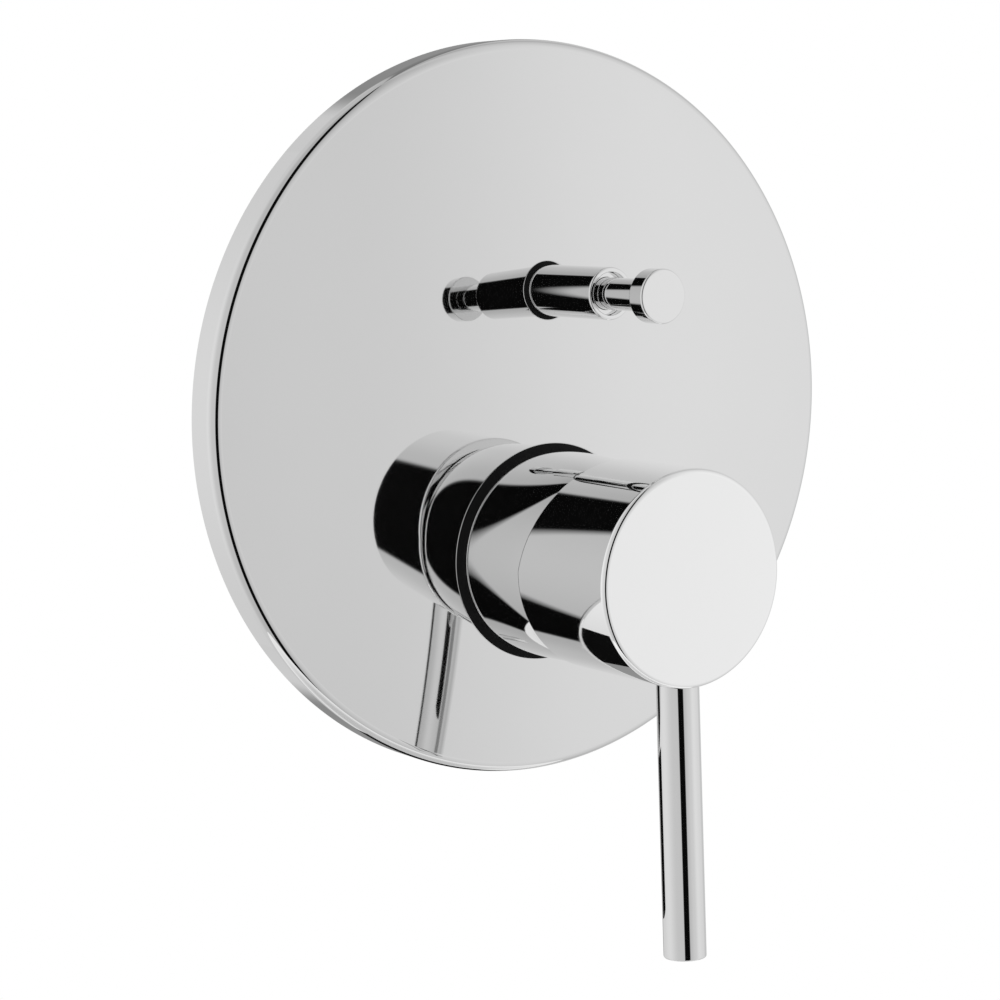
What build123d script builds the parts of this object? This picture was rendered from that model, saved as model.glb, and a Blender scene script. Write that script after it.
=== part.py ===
from build123d import *
from math import atan2, cos, degrees, radians, sin, sqrt, tan
import os

# Concealed bath mixer. Origin at the plate's centre on the finished wall, front towards -Y, +Z up.
# All depths are measured outwards from the wall, along -Y.

# Cover plate
plate_radius = 85.0
plate_rim_height = 9.2
plate_edge_radius = 2.5
plate_crown = 5.6
plate_thickness = 1.5
gasket_width = 7.5

# Axes of the mixing cartridge and of the diverter
mixer_z = -32.6
diverter_z = 27.9

# Flats round the section of the squeezed O-rings, and round the spring's wire
ring_flats = 8

# Fits shared by the moving pieces
running_clearance = 0.05
ball_clearance = 0.1
free_gap = 0.3

# Sleeve with its spherical front end, centred on the tilt pivot
pivot_depth = 32.0
sleeve_radius = 23.9
ball_radius = 23.3
blend_start_depth = 17.0
blend_middle_depth = 24.0
blend_angle = 12.0
blend_pull = 5.0
sleeve_wall = 2.1
sleeve_back_depth = 4.0
dome_angle = 38.0
sleeve_hole_gap = 1.3
grommet_flange = 2.6
grommet_back_depth = 5.0
grommet_drop = 0.25

# Handle
handle_radius = 24.0
handle_front_depth = 67.8
handle_front_rounding = 1.2
handle_bore_radius = 20.5
handle_front_wall = 2.6
skirt_depth = 35.6
skirt_angle = 15.0
skirt_edge_rounding = 0.5
hub_radius = 7.5
hub_back_depth = 46.5

# Lever
lever_radius = 4.75
lever_depth = 61.1
lever_tilt = 2.6
lever_reach = 84.3
lever_end_chamfer = 0.4
lever_seat_radius = 22.3
lever_spigot_radius = 3.0
lever_spigot_length = 8.0
lever_fit = 0.05
lever_boss_radius = 5.5
set_screw_radius = 2.5
set_screw_length = 5.0
hex_key_size = 2.5
hex_key_depth = 2.0

# Cartridge stem
stem_side = 7.0
stem_top_depth = 64.0
stem_fit = 0.05
stem_arm_radius = 2.6
stem_arm_length = 20.0
stem_ball_radius = 3.2
flow_angle = 16.5
pin_radius = 2.0
pin_length = 22.0

# Cartridge
cartridge_radius = 17.5
chamber_clearance = 0.1
chamber_floor_depth = -6.0
base_thickness = 4.0
fixed_disc_radius = 15.0
disc_thickness = 4.0
moving_disc_radius = 9.3
carrier_thickness = 7.6
carrier_half_width = 8.0
socket_floor = 2.2
housing_cavity_radius = 15.5
housing_step_depth = 18.0
housing_shoulder_depth = 23.0
housing_neck_radius = 14.6
housing_top_depth = 37.5
turret_radius = 12.45
turret_top_depth = 38.0
rotor_flange_radius = 15.1
rotor_flange_thickness = 3.8
rib_width = 2.4
rib_length = 16.0
seal_width = 1.6
seal_height = 1.4
inlet_hole_radius = 3.2
inlet_hole_x = 6.4
inlet_hole_z = -5.2
outlet_hole_radius = 3.6
outlet_hole_z = 6.4
peg_radius = 1.9
peg_length = 3.0
peg_x = 13.6

# Cartridge nut
nut_thread_radius = 19.0
nut_thread_length = 6.0
nut_head_radius = 18.2
nut_head_height = 2.5
nut_slot_width = 4.0
nut_slot_depth = 1.6

# Valve body
neck_radius = 21.1
mixer_boss_radius = 23.0
mixer_boss_front = -12.0
body_back_depth = -49.0
port_plane_depth = -34.0
inlet_tube_radius = 13.2
outlet_tube_radius = 14.0
port_hex_radius = 16.5
port_hex_length = 13.0
port_radius = 9.3
port_length = 15.0
way_overlap = 1.0
port_reach_x = 50.0
bath_port_z = -80.0
shower_port_z = 68.0
inlet_way_radius = 5.0
inlet_way_depth = -31.0
inlet_way_end_x = 7.0
mixed_way_radius = 4.0
mixed_way_depth = -20.5
bath_way_radius = 4.5
bath_way_depth = -38.6
shower_rise_radius = 4.0
shower_cross_radius = 4.4
shower_top_radius = 4.8
shower_way_z = 47.0
web_half_width = 8.0
lug_half_height = 28.0
lug_inner_x = 20.0
lug_outer_x = 43.0
lug_thickness = 5.0
lug_hole_radius = 2.75
lug_spacing_x = 72.0
lug_spacing_z = 42.0
o_ring_depths = (10.0, 18.0)
o_ring_section = 0.95
o_ring_groove_width = 2.4

# Diverter chamber, front to back
chamber_mouth_depth = 3.0
bonnet_inner_depth = -4.0
front_seat_depth = -14.0
seat_length = 4.0
middle_chamber_length = 10.0
rear_chamber_end = -45.0
chamber_radius = 9.0
seat_radius = 6.55
diverter_boss_radius = 14.8
diverter_travel = 9.0

# Diverter bonnet, barrel, stem and knob
bonnet_thread_radius = 10.0
bonnet_hex_radius = 12.6
bonnet_hex_height = 4.0
bonnet_nose_radius = 5.2
bonnet_nose_end = 16.0
spring_pocket_radius = 5.5
spring_pocket_end = 5.5
bonnet_ring_section = 0.8
gland_ring_section = 0.7
gland_ring_depth = 11.5
gland_groove_width = 1.8
barrel_radius = 5.9
barrel_front_depth = 38.3
barrel_bore_radius = 4.4
barrel_guide_length = 2.0
barrel_recess_radius = 4.8
barrel_recess_depth = 1.8
barrel_lip_rounding = 0.5
barrel_hole_gap = 0.7
barrel_grommet_flange = 2.0
rear_stem_radius = 3.0
front_stem_radius = 3.6
stem_step_depth = 20.0
stem_spigot_radius = 2.0
stem_spigot_length = 6.0
knob_radius = 6.0
knob_front_depth = 57.3
knob_length = 4.5
knob_edge_rounding = 0.5
knob_socket_depth = 3.2
land_radius = 6.25
piston_rod_radius = 2.5
piston_ring_section = 0.65
piston_groove_width = 1.6
spring_wire_radius = 0.4
spring_coil_radius = 4.3
spring_turns = 5

# Values that follow from the sizes above
plate_face_radius = plate_radius - plate_edge_radius
crown_radius = (plate_face_radius**2 + plate_crown**2) / (2 * plate_crown)
crown_centre = plate_rim_height + plate_crown - crown_radius
inner_crown_radius = crown_radius - plate_thickness
sleeve_bore_radius = sleeve_radius - sleeve_wall
handle_sphere_radius = ball_radius + free_gap
sleeve_hole_radius = sleeve_radius + sleeve_hole_gap
barrel_hole_radius = barrel_radius + barrel_hole_gap
base_top_depth = chamber_floor_depth + base_thickness
moving_disc_back = base_top_depth + disc_thickness
carrier_back = moving_disc_back + disc_thickness
ball_depth = pivot_depth - stem_arm_length
socket_radius = stem_ball_radius + ball_clearance
rotor_flange_front = housing_step_depth - running_clearance
rotor_flange_back = rotor_flange_front - rotor_flange_thickness
turret_bore_radius = turret_radius + running_clearance
slot_width = stem_side + 4 * running_clearance
slot_length = 2 * (stem_arm_length * sin(radians(flow_angle)) + stem_ball_radius + free_gap)
chamber_bore_radius = cartridge_radius + chamber_clearance
neck_end_depth = housing_shoulder_depth + nut_thread_length
middle_chamber_front = front_seat_depth - seat_length
middle_chamber_back = middle_chamber_front - middle_chamber_length
rear_seat_back = middle_chamber_back - seat_length
rear_land_front = middle_chamber_back - diverter_travel
rear_land_back = rear_land_front - seat_length
ring_land_radius = seat_radius - running_clearance
guide_radius = front_stem_radius + running_clearance
gland_radius = rear_stem_radius + running_clearance
knob_back_depth = knob_front_depth - knob_length
bonnet_hex_front = chamber_mouth_depth + bonnet_hex_height
ring_pocket_radius = bonnet_thread_radius + 2 * bonnet_ring_section
ring_pocket_depth = chamber_mouth_depth - 2 * bonnet_ring_section
lever_slope = tan(radians(lever_tilt))

# Planes and axes: local x is the radius, local y the depth outwards
plate_section = Plane(origin=(0, 0, 0), x_dir=(1, 0, 0), z_dir=(0, 0, -1))
mixer_section = Plane(origin=(0, 0, mixer_z), x_dir=(1, 0, 0), z_dir=(0, 0, -1))
diverter_section = Plane(origin=(0, 0, diverter_z), x_dir=(1, 0, 0), z_dir=(0, 0, -1))
plate_axis = Axis((0, 0, 0), (0, -1, 0))
mixer_axis = Axis((0, 0, mixer_z), (0, -1, 0))
diverter_axis = Axis((0, 0, diverter_z), (0, -1, 0))
mixer_front = Plane(origin=(0, 0, mixer_z), x_dir=(1, 0, 0), z_dir=(0, -1, 0))
diverter_front = Plane(origin=(0, 0, diverter_z), x_dir=(1, 0, 0), z_dir=(0, -1, 0))
lever_direction = (0, -sin(radians(lever_tilt)), -cos(radians(lever_tilt)))
lever_plane = Plane(origin=(0, -lever_depth, mixer_z), x_dir=(1, 0, 0), z_dir=lever_direction)
set_screw_plane = Plane(
    origin=(0, -(lever_depth + hub_radius * lever_slope), mixer_z), x_dir=(1, 0, 0), z_dir=(0, 0, -1)
)

os.makedirs("parts", exist_ok=True)


def crown_depth(radius, sphere_radius):
    """Depth of a crown surface at a distance from the plate's centre."""
    return crown_centre + sqrt(sphere_radius**2 - radius**2)


def dome_point(angle, sphere_radius):
    """Point of a sphere round the tilt pivot, by its angle above the pivot's plane."""
    turn = radians(angle)
    return (sphere_radius * cos(turn), pivot_depth + sphere_radius * sin(turn))


# Cover plate: a pressed dish with a turned rim, a convex face and two holes
inner_wall_radius = plate_radius - plate_thickness
inner_corner_depth = crown_depth(inner_wall_radius, inner_crown_radius)
edge_middle = plate_edge_radius * sqrt(0.5)
with BuildPart() as cover_plate:
    with BuildSketch(plate_section):
        with BuildLine():
            Line((plate_radius, 0), (plate_radius, plate_rim_height - plate_edge_radius))
            ThreePointArc(
                (plate_radius, plate_rim_height - plate_edge_radius),
                (plate_face_radius + edge_middle, plate_rim_height - plate_edge_radius + edge_middle),
                (plate_face_radius, plate_rim_height),
            )
            ThreePointArc(
                (plate_face_radius, plate_rim_height),
                (plate_face_radius / 2, crown_depth(plate_face_radius / 2, crown_radius)),
                (0, plate_rim_height + plate_crown),
            )
            Line((0, plate_rim_height + plate_crown), (0, crown_depth(0, inner_crown_radius)))
            ThreePointArc(
                (0, crown_depth(0, inner_crown_radius)),
                (inner_wall_radius / 2, crown_depth(inner_wall_radius / 2, inner_crown_radius)),
                (inner_wall_radius, inner_corner_depth),
            )
            Line((inner_wall_radius, inner_corner_depth), (inner_wall_radius, 0))
            Line((inner_wall_radius, 0), (plate_radius, 0))
        make_face()
    revolve(axis=plate_axis)
    with BuildSketch(mixer_front):
        Circle(sleeve_hole_radius)
    extrude(amount=plate_radius, mode=Mode.SUBTRACT)
    with BuildSketch(diverter_front):
        Circle(barrel_hole_radius)
    extrude(amount=plate_radius, mode=Mode.SUBTRACT)
cover_plate.part.label = "cover_plate"
export_step(cover_plate.part, "parts/cover_plate.step")

# Foam gasket inside the rim, squeezed between the plate and the wall
gasket_inner_radius = inner_wall_radius - gasket_width
gasket_middle_radius = inner_wall_radius - gasket_width / 2
with BuildPart() as plate_gasket:
    with BuildSketch(plate_section):
        with BuildLine():
            Polyline(
                (gasket_inner_radius, crown_depth(gasket_inner_radius, inner_crown_radius)),
                (gasket_inner_radius, 0),
                (inner_wall_radius, 0),
                (inner_wall_radius, inner_corner_depth),
            )
            ThreePointArc(
                (inner_wall_radius, inner_corner_depth),
                (gasket_middle_radius, crown_depth(gasket_middle_radius, inner_crown_radius)),
                (gasket_inner_radius, crown_depth(gasket_inner_radius, inner_crown_radius)),
            )
        make_face()
    revolve(axis=plate_axis)
plate_gasket.part.label = "plate_gasket"
export_step(plate_gasket.part, "parts/plate_gasket.step")

# The space under the plate's face, which shapes the two grommets
with BuildPart() as under_face:
    with BuildSketch(plate_section):
        with BuildLine():
            Polyline(
                (0, crown_depth(0, crown_radius) - grommet_drop),
                (0, grommet_back_depth),
                (inner_wall_radius, grommet_back_depth),
                (inner_wall_radius, crown_depth(inner_wall_radius, crown_radius) - grommet_drop),
            )
            ThreePointArc(
                (inner_wall_radius, crown_depth(inner_wall_radius, crown_radius) - grommet_drop),
                (inner_wall_radius / 2, crown_depth(inner_wall_radius / 2, crown_radius) - grommet_drop),
                (0, crown_depth(0, crown_radius) - grommet_drop),
            )
        make_face()
    revolve(axis=plate_axis)

with BuildPart() as under_plate:
    with BuildSketch(plate_section):
        with BuildLine():
            Polyline(
                (0, crown_depth(0, inner_crown_radius)),
                (0, grommet_back_depth),
                (inner_wall_radius, grommet_back_depth),
                (inner_wall_radius, inner_corner_depth),
            )
            ThreePointArc(
                (inner_wall_radius, inner_corner_depth),
                (inner_wall_radius / 2, crown_depth(inner_wall_radius / 2, inner_crown_radius)),
                (0, crown_depth(0, inner_crown_radius)),
            )
        make_face()
    revolve(axis=plate_axis)

# Rubber grommet round the sleeve: a flange behind the plate and a lip in its hole
with BuildPart() as sleeve_flange:
    with BuildSketch(mixer_front):
        Circle(sleeve_hole_radius + grommet_flange)
        Circle(sleeve_radius, mode=Mode.SUBTRACT)
    extrude(amount=plate_radius)
    add(under_plate.part, mode=Mode.INTERSECT)

with BuildPart() as sleeve_grommet:
    with BuildSketch(mixer_front):
        Circle(sleeve_hole_radius)
        Circle(sleeve_radius, mode=Mode.SUBTRACT)
    extrude(amount=plate_radius)
    add(under_face.part, mode=Mode.INTERSECT)
    add(sleeve_flange.part)
sleeve_grommet.part.label = "sleeve_grommet"
export_step(sleeve_grommet.part, "parts/sleeve_grommet.step")

# Rubber grommet round the diverter barrel
with BuildPart() as barrel_flange:
    with BuildSketch(diverter_front):
        Circle(barrel_hole_radius + barrel_grommet_flange)
        Circle(barrel_radius, mode=Mode.SUBTRACT)
    extrude(amount=plate_radius)
    with BuildSketch(diverter_front):
        Circle(plate_radius)
    extrude(amount=bonnet_hex_front, mode=Mode.SUBTRACT)
    add(under_plate.part, mode=Mode.INTERSECT)

with BuildPart() as barrel_grommet:
    with BuildSketch(diverter_front.offset(bonnet_hex_front)):
        Circle(barrel_hole_radius)
        Circle(barrel_radius, mode=Mode.SUBTRACT)
    extrude(amount=plate_radius)
    add(under_face.part, mode=Mode.INTERSECT)
    add(barrel_flange.part)
barrel_grommet.part.label = "barrel_grommet"
export_step(barrel_grommet.part, "parts/barrel_grommet.step")

# Sleeve: a tube whose front end runs over into a spherical zone round the tilt pivot
blend_turn = radians(blend_angle)
blend_end = dome_point(blend_angle, ball_radius)
with BuildPart() as sleeve:
    with BuildSketch(mixer_section):
        with BuildLine():
            Line((sleeve_radius, sleeve_back_depth), (sleeve_radius, blend_start_depth))
            Bezier(
                (sleeve_radius, blend_start_depth),
                (sleeve_radius, blend_middle_depth),
                (blend_end[0] + blend_pull * sin(blend_turn), blend_end[1] - blend_pull * cos(blend_turn)),
                blend_end,
            )
            ThreePointArc(
                blend_end,
                dome_point((blend_angle + dome_angle) / 2, ball_radius),
                dome_point(dome_angle, ball_radius),
            )
            Line(dome_point(dome_angle, ball_radius), dome_point(dome_angle, sleeve_bore_radius))
            ThreePointArc(
                dome_point(dome_angle, sleeve_bore_radius),
                dome_point(dome_angle / 2, sleeve_bore_radius),
                (sleeve_bore_radius, pivot_depth),
            )
            Line((sleeve_bore_radius, pivot_depth), (sleeve_bore_radius, sleeve_back_depth))
            Line((sleeve_bore_radius, sleeve_back_depth), (sleeve_radius, sleeve_back_depth))
        make_face()
    revolve(axis=mixer_axis)
sleeve.part.label = "sleeve"
export_step(sleeve.part, "parts/sleeve.step")

# O-rings in the neck's grooves, which grip the sleeve
o_ring_centre_radius = sleeve_bore_radius - o_ring_section
with BuildPart() as sleeve_o_rings:
    for depth in o_ring_depths:
        with BuildSketch(mixer_section):
            with Locations((o_ring_centre_radius, depth)):
                RegularPolygon(o_ring_section, ring_flats, major_radius=False, rotation=180 / ring_flats)
        revolve(axis=mixer_axis)
sleeve_o_rings.part.label = "sleeve_o_rings"
export_step(sleeve_o_rings.part, "parts/sleeve_o_rings.step")

# Handle: bored to a sphere round the pivot, its skirt cut back above the axis, with a hub for the stem
front_inner_depth = handle_front_depth - handle_front_wall
bore_angle = degrees(atan2(sqrt(handle_sphere_radius**2 - handle_bore_radius**2), handle_bore_radius))
front_arc = handle_front_rounding * sqrt(0.5)
skirt_top_depth = skirt_depth + handle_radius * tan(radians(skirt_angle))
skirt_plane = Plane(origin=(0, -skirt_depth, mixer_z), x_dir=(1, 0, 0), z_dir=(0, -1, 0))
lifted_skirt_plane = Plane(
    origin=(0, -skirt_depth, mixer_z),
    x_dir=(1, 0, 0),
    z_dir=(0, -cos(radians(skirt_angle)), -sin(radians(skirt_angle))),
)
with BuildPart() as handle:
    with BuildSketch(mixer_section):
        with BuildLine():
            Line((handle_radius, pivot_depth), (handle_radius, handle_front_depth - handle_front_rounding))
            ThreePointArc(
                (handle_radius, handle_front_depth - handle_front_rounding),
                (
                    handle_radius - handle_front_rounding + front_arc,
                    handle_front_depth - handle_front_rounding + front_arc,
                ),
                (handle_radius - handle_front_rounding, handle_front_depth),
            )
            Polyline(
                (handle_radius - handle_front_rounding, handle_front_depth),
                (0, handle_front_depth),
                (0, hub_back_depth),
                (hub_radius, hub_back_depth),
                (hub_radius, front_inner_depth),
                (handle_bore_radius, front_inner_depth),
                dome_point(bore_angle, handle_sphere_radius),
            )
            ThreePointArc(
                dome_point(bore_angle, handle_sphere_radius),
                dome_point(bore_angle / 2, handle_sphere_radius),
                (handle_sphere_radius, pivot_depth),
            )
            Line((handle_sphere_radius, pivot_depth), (handle_radius, pivot_depth))
        make_face()
    revolve(axis=mixer_axis)
    split(bisect_by=skirt_plane, keep=Keep.TOP)
    split(bisect_by=lifted_skirt_plane, keep=Keep.TOP)
    outer_wall = handle.faces().filter_by(GeomType.CYLINDER).sort_by(Face.area)[-1]
    skirt_edges = outer_wall.edges().filter_by_position(Axis.Y, -skirt_top_depth - free_gap, -pivot_depth)
    fillet(skirt_edges, skirt_edge_rounding)
    with BuildSketch(lever_plane.offset(hub_radius / 2)):
        Circle(lever_boss_radius)
    extrude(amount=lever_seat_radius - hub_radius / 2)
    with BuildSketch(mixer_front.offset(hub_back_depth)):
        Rectangle(stem_side + 2 * stem_fit, stem_side + 2 * stem_fit)
    extrude(amount=stem_top_depth + stem_fit - hub_back_depth, mode=Mode.SUBTRACT)
    with BuildSketch(set_screw_plane):
        Circle(set_screw_radius)
    extrude(amount=lever_seat_radius / 2, mode=Mode.SUBTRACT)
    with BuildSketch(lever_plane.offset(lever_seat_radius - lever_spigot_length)):
        Circle(lever_spigot_radius)
    extrude(amount=lever_spigot_length, mode=Mode.SUBTRACT)
    with BuildSketch(lever_plane.offset(lever_seat_radius)):
        Circle(lever_radius + lever_fit)
    extrude(amount=handle_radius, mode=Mode.SUBTRACT)
handle.part.label = "handle"
export_step(handle.part, "parts/handle.step")

# Lever: a plain rod with a threaded spigot that screws into the handle
with BuildPart() as lever:
    with BuildSketch(lever_plane.offset(lever_seat_radius)):
        Circle(lever_radius)
    extrude(amount=lever_reach - lever_seat_radius)
    chamfer(lever.edges().sort_by(Axis.Z)[0], lever_end_chamfer)
    with BuildSketch(lever_plane.offset(lever_seat_radius)):
        Circle(lever_spigot_radius)
    extrude(amount=-lever_spigot_length)
lever.part.label = "lever"
export_step(lever.part, "parts/lever.step")

# Grub screw that locks the handle on the stem
with BuildPart() as handle_set_screw:
    with BuildSketch(set_screw_plane.offset(stem_side / 2)):
        Circle(set_screw_radius)
    extrude(amount=set_screw_length)
    with BuildSketch(set_screw_plane.offset(stem_side / 2 + set_screw_length)):
        RegularPolygon(radius=hex_key_size / 2, side_count=6, major_radius=False)
    extrude(amount=-hex_key_depth, mode=Mode.SUBTRACT)
handle_set_screw.part.label = "handle_set_screw"
export_step(handle_set_screw.part, "parts/handle_set_screw.step")

# Cartridge stem: a square rod that turns on the pivot pin, with a ball that moves the disc
with BuildPart() as cartridge_stem:
    with BuildSketch(mixer_front.offset(pivot_depth - stem_side / 2)):
        Rectangle(stem_side, stem_side)
    extrude(amount=stem_top_depth - pivot_depth + stem_side / 2)
    with BuildSketch(mixer_front.offset(ball_depth)):
        Circle(stem_arm_radius)
    extrude(amount=stem_arm_length)
    with BuildSketch(mixer_section):
        with BuildLine():
            Line((0, ball_depth - stem_ball_radius), (0, ball_depth + stem_ball_radius))
            ThreePointArc(
                (0, ball_depth + stem_ball_radius),
                (stem_ball_radius, ball_depth),
                (0, ball_depth - stem_ball_radius),
            )
        make_face()
    revolve(axis=mixer_axis)
    with BuildSketch(Plane.YZ.offset(-stem_side)):
        with Locations((-pivot_depth, mixer_z)):
            Circle(pin_radius + running_clearance)
    extrude(amount=2 * stem_side, mode=Mode.SUBTRACT)
cartridge_stem.part.label = "cartridge_stem"
export_step(cartridge_stem.part, "parts/cartridge_stem.step")

# Pivot pin across the stem carrier
with BuildPart() as pivot_pin:
    with BuildSketch(Plane.YZ.offset(-pin_length / 2)):
        with Locations((-pivot_depth, mixer_z)):
            Circle(pin_radius)
    extrude(amount=pin_length)
pivot_pin.part.label = "pivot_pin"
export_step(pivot_pin.part, "parts/pivot_pin.step")

# Stem carrier: a turret that turns in the housing, with a slot for the stem and two guide ribs
with BuildPart() as stem_carrier:
    with BuildSketch(mixer_front.offset(rotor_flange_back)):
        Circle(rotor_flange_radius)
    extrude(amount=rotor_flange_thickness)
    with BuildSketch(mixer_front.offset(rotor_flange_back)):
        Circle(turret_radius)
    extrude(amount=turret_top_depth - rotor_flange_back)
    with BuildSketch(mixer_front.offset(carrier_back + free_gap)):
        for side in (-1, 1):
            with Locations((side * (carrier_half_width + running_clearance + rib_width / 2), 0)):
                Rectangle(rib_width, rib_length)
    extrude(amount=rotor_flange_back - carrier_back - free_gap)
    with BuildSketch(mixer_front.offset(rotor_flange_back)):
        Rectangle(slot_width, slot_length)
    extrude(amount=turret_top_depth - rotor_flange_back, mode=Mode.SUBTRACT)
    with BuildSketch(Plane.YZ.offset(-pin_length / 2)):
        with Locations((-pivot_depth, mixer_z)):
            Circle(pin_radius)
    extrude(amount=pin_length, mode=Mode.SUBTRACT)
stem_carrier.part.label = "stem_carrier"
export_step(stem_carrier.part, "parts/stem_carrier.step")

# Disc carrier: slides between the ribs, moved by the stem's ball
with BuildPart() as disc_carrier:
    with BuildSketch(mixer_front.offset(carrier_back)):
        Circle(moving_disc_radius)
        Rectangle(2 * carrier_half_width, 2 * moving_disc_radius, mode=Mode.INTERSECT)
    extrude(amount=carrier_thickness)
    with BuildSketch(mixer_front.offset(carrier_back + socket_floor)):
        Circle(socket_radius)
    extrude(amount=carrier_thickness, mode=Mode.SUBTRACT)
disc_carrier.part.label = "disc_carrier"
export_step(disc_carrier.part, "parts/disc_carrier.step")

# Moving ceramic disc with the mixing hollow in its back face
with BuildPart() as moving_ceramic_disc:
    with BuildSketch(mixer_front.offset(moving_disc_back)):
        Circle(moving_disc_radius)
    extrude(amount=disc_thickness)
    with BuildSketch(mixer_front.offset(moving_disc_back)):
        with Locations((0, outlet_hole_z / 2)):
            SlotOverall(moving_disc_radius, 2 * outlet_hole_radius, rotation=0)
    extrude(amount=disc_thickness / 2, mode=Mode.SUBTRACT)
moving_ceramic_disc.part.label = "moving_ceramic_disc"
export_step(moving_ceramic_disc.part, "parts/moving_ceramic_disc.step")

# The three waterways through base and fixed disc
water_holes = (
    (-inlet_hole_x, inlet_hole_z, inlet_hole_radius),
    (inlet_hole_x, inlet_hole_z, inlet_hole_radius),
    (0, outlet_hole_z, outlet_hole_radius),
)
with BuildPart() as fixed_ceramic_disc:
    with BuildSketch(mixer_front.offset(base_top_depth)):
        Circle(fixed_disc_radius)
        for hole_x, hole_z, hole_radius in water_holes:
            with Locations((hole_x, hole_z)):
                Circle(hole_radius, mode=Mode.SUBTRACT)
    extrude(amount=disc_thickness)
fixed_ceramic_disc.part.label = "fixed_ceramic_disc"
export_step(fixed_ceramic_disc.part, "parts/fixed_ceramic_disc.step")

# Cartridge base with seal grooves on both faces and two locating pegs
with BuildPart() as cartridge_base:
    with BuildSketch(mixer_front.offset(chamber_floor_depth)):
        Circle(cartridge_radius)
        for hole_x, hole_z, hole_radius in water_holes:
            with Locations((hole_x, hole_z)):
                Circle(hole_radius, mode=Mode.SUBTRACT)
    extrude(amount=base_thickness)
    with BuildSketch(mixer_front.offset(chamber_floor_depth)):
        for hole_x, hole_z, hole_radius in water_holes:
            with Locations((hole_x, hole_z)):
                Circle(hole_radius + seal_width)
    extrude(amount=seal_height, mode=Mode.SUBTRACT)
    with BuildSketch(mixer_front.offset(base_top_depth)):
        for hole_x, hole_z, hole_radius in water_holes:
            with Locations((hole_x, hole_z)):
                Circle(hole_radius + seal_width)
    extrude(amount=-seal_height, mode=Mode.SUBTRACT)
    with BuildSketch(mixer_front.offset(chamber_floor_depth)):
        with Locations((-peg_x, 0), (peg_x, 0)):
            Circle(peg_radius)
    extrude(amount=-peg_length)
cartridge_base.part.label = "cartridge_base"
export_step(cartridge_base.part, "parts/cartridge_base.step")

# Seals between the base and the chamber's floor
with BuildPart() as base_seals:
    with BuildSketch(mixer_front.offset(chamber_floor_depth)):
        for hole_x, hole_z, hole_radius in water_holes:
            with Locations((hole_x, hole_z)):
                Circle(hole_radius + seal_width)
                Circle(hole_radius, mode=Mode.SUBTRACT)
    extrude(amount=seal_height)
base_seals.part.label = "base_seals"
export_step(base_seals.part, "parts/base_seals.step")

# Seals between the base and the fixed disc
with BuildPart() as disc_seals:
    with BuildSketch(mixer_front.offset(base_top_depth)):
        for hole_x, hole_z, hole_radius in water_holes:
            with Locations((hole_x, hole_z)):
                Circle(hole_radius + seal_width)
                Circle(hole_radius, mode=Mode.SUBTRACT)
    extrude(amount=-seal_height)
disc_seals.part.label = "disc_seals"
export_step(disc_seals.part, "parts/disc_seals.step")

# Cartridge housing round the discs and the turret
with BuildPart() as cartridge_housing:
    with BuildSketch(mixer_section):
        with BuildLine():
            Polyline(
                (cartridge_radius, base_top_depth),
                (cartridge_radius, housing_shoulder_depth),
                (housing_neck_radius, housing_shoulder_depth),
                (housing_neck_radius, housing_top_depth),
                (turret_bore_radius, housing_top_depth),
                (turret_bore_radius, housing_step_depth),
                (housing_cavity_radius, housing_step_depth),
                (housing_cavity_radius, base_top_depth),
                close=True,
            )
        make_face()
    revolve(axis=mixer_axis)
cartridge_housing.part.label = "cartridge_housing"
export_step(cartridge_housing.part, "parts/cartridge_housing.step")

# Slotted ring nut that clamps the housing in the neck
nut_top_depth = neck_end_depth + nut_head_height
nut_bore_radius = housing_neck_radius + chamber_clearance
with BuildPart() as cartridge_nut:
    with BuildSketch(mixer_section):
        with BuildLine():
            Polyline(
                (nut_bore_radius, housing_shoulder_depth),
                (nut_thread_radius, housing_shoulder_depth),
                (nut_thread_radius, neck_end_depth),
                (nut_head_radius, neck_end_depth),
                (nut_head_radius, nut_top_depth),
                (nut_bore_radius, nut_top_depth),
                close=True,
            )
        make_face()
    revolve(axis=mixer_axis)
    with BuildSketch(mixer_front.offset(nut_top_depth)):
        Rectangle(nut_slot_width, 2 * nut_thread_radius)
        Rectangle(2 * nut_thread_radius, nut_slot_width)
    extrude(amount=-nut_slot_depth, mode=Mode.SUBTRACT)
cartridge_nut.part.label = "cartridge_nut"
export_step(cartridge_nut.part, "parts/cartridge_nut.step")

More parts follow.
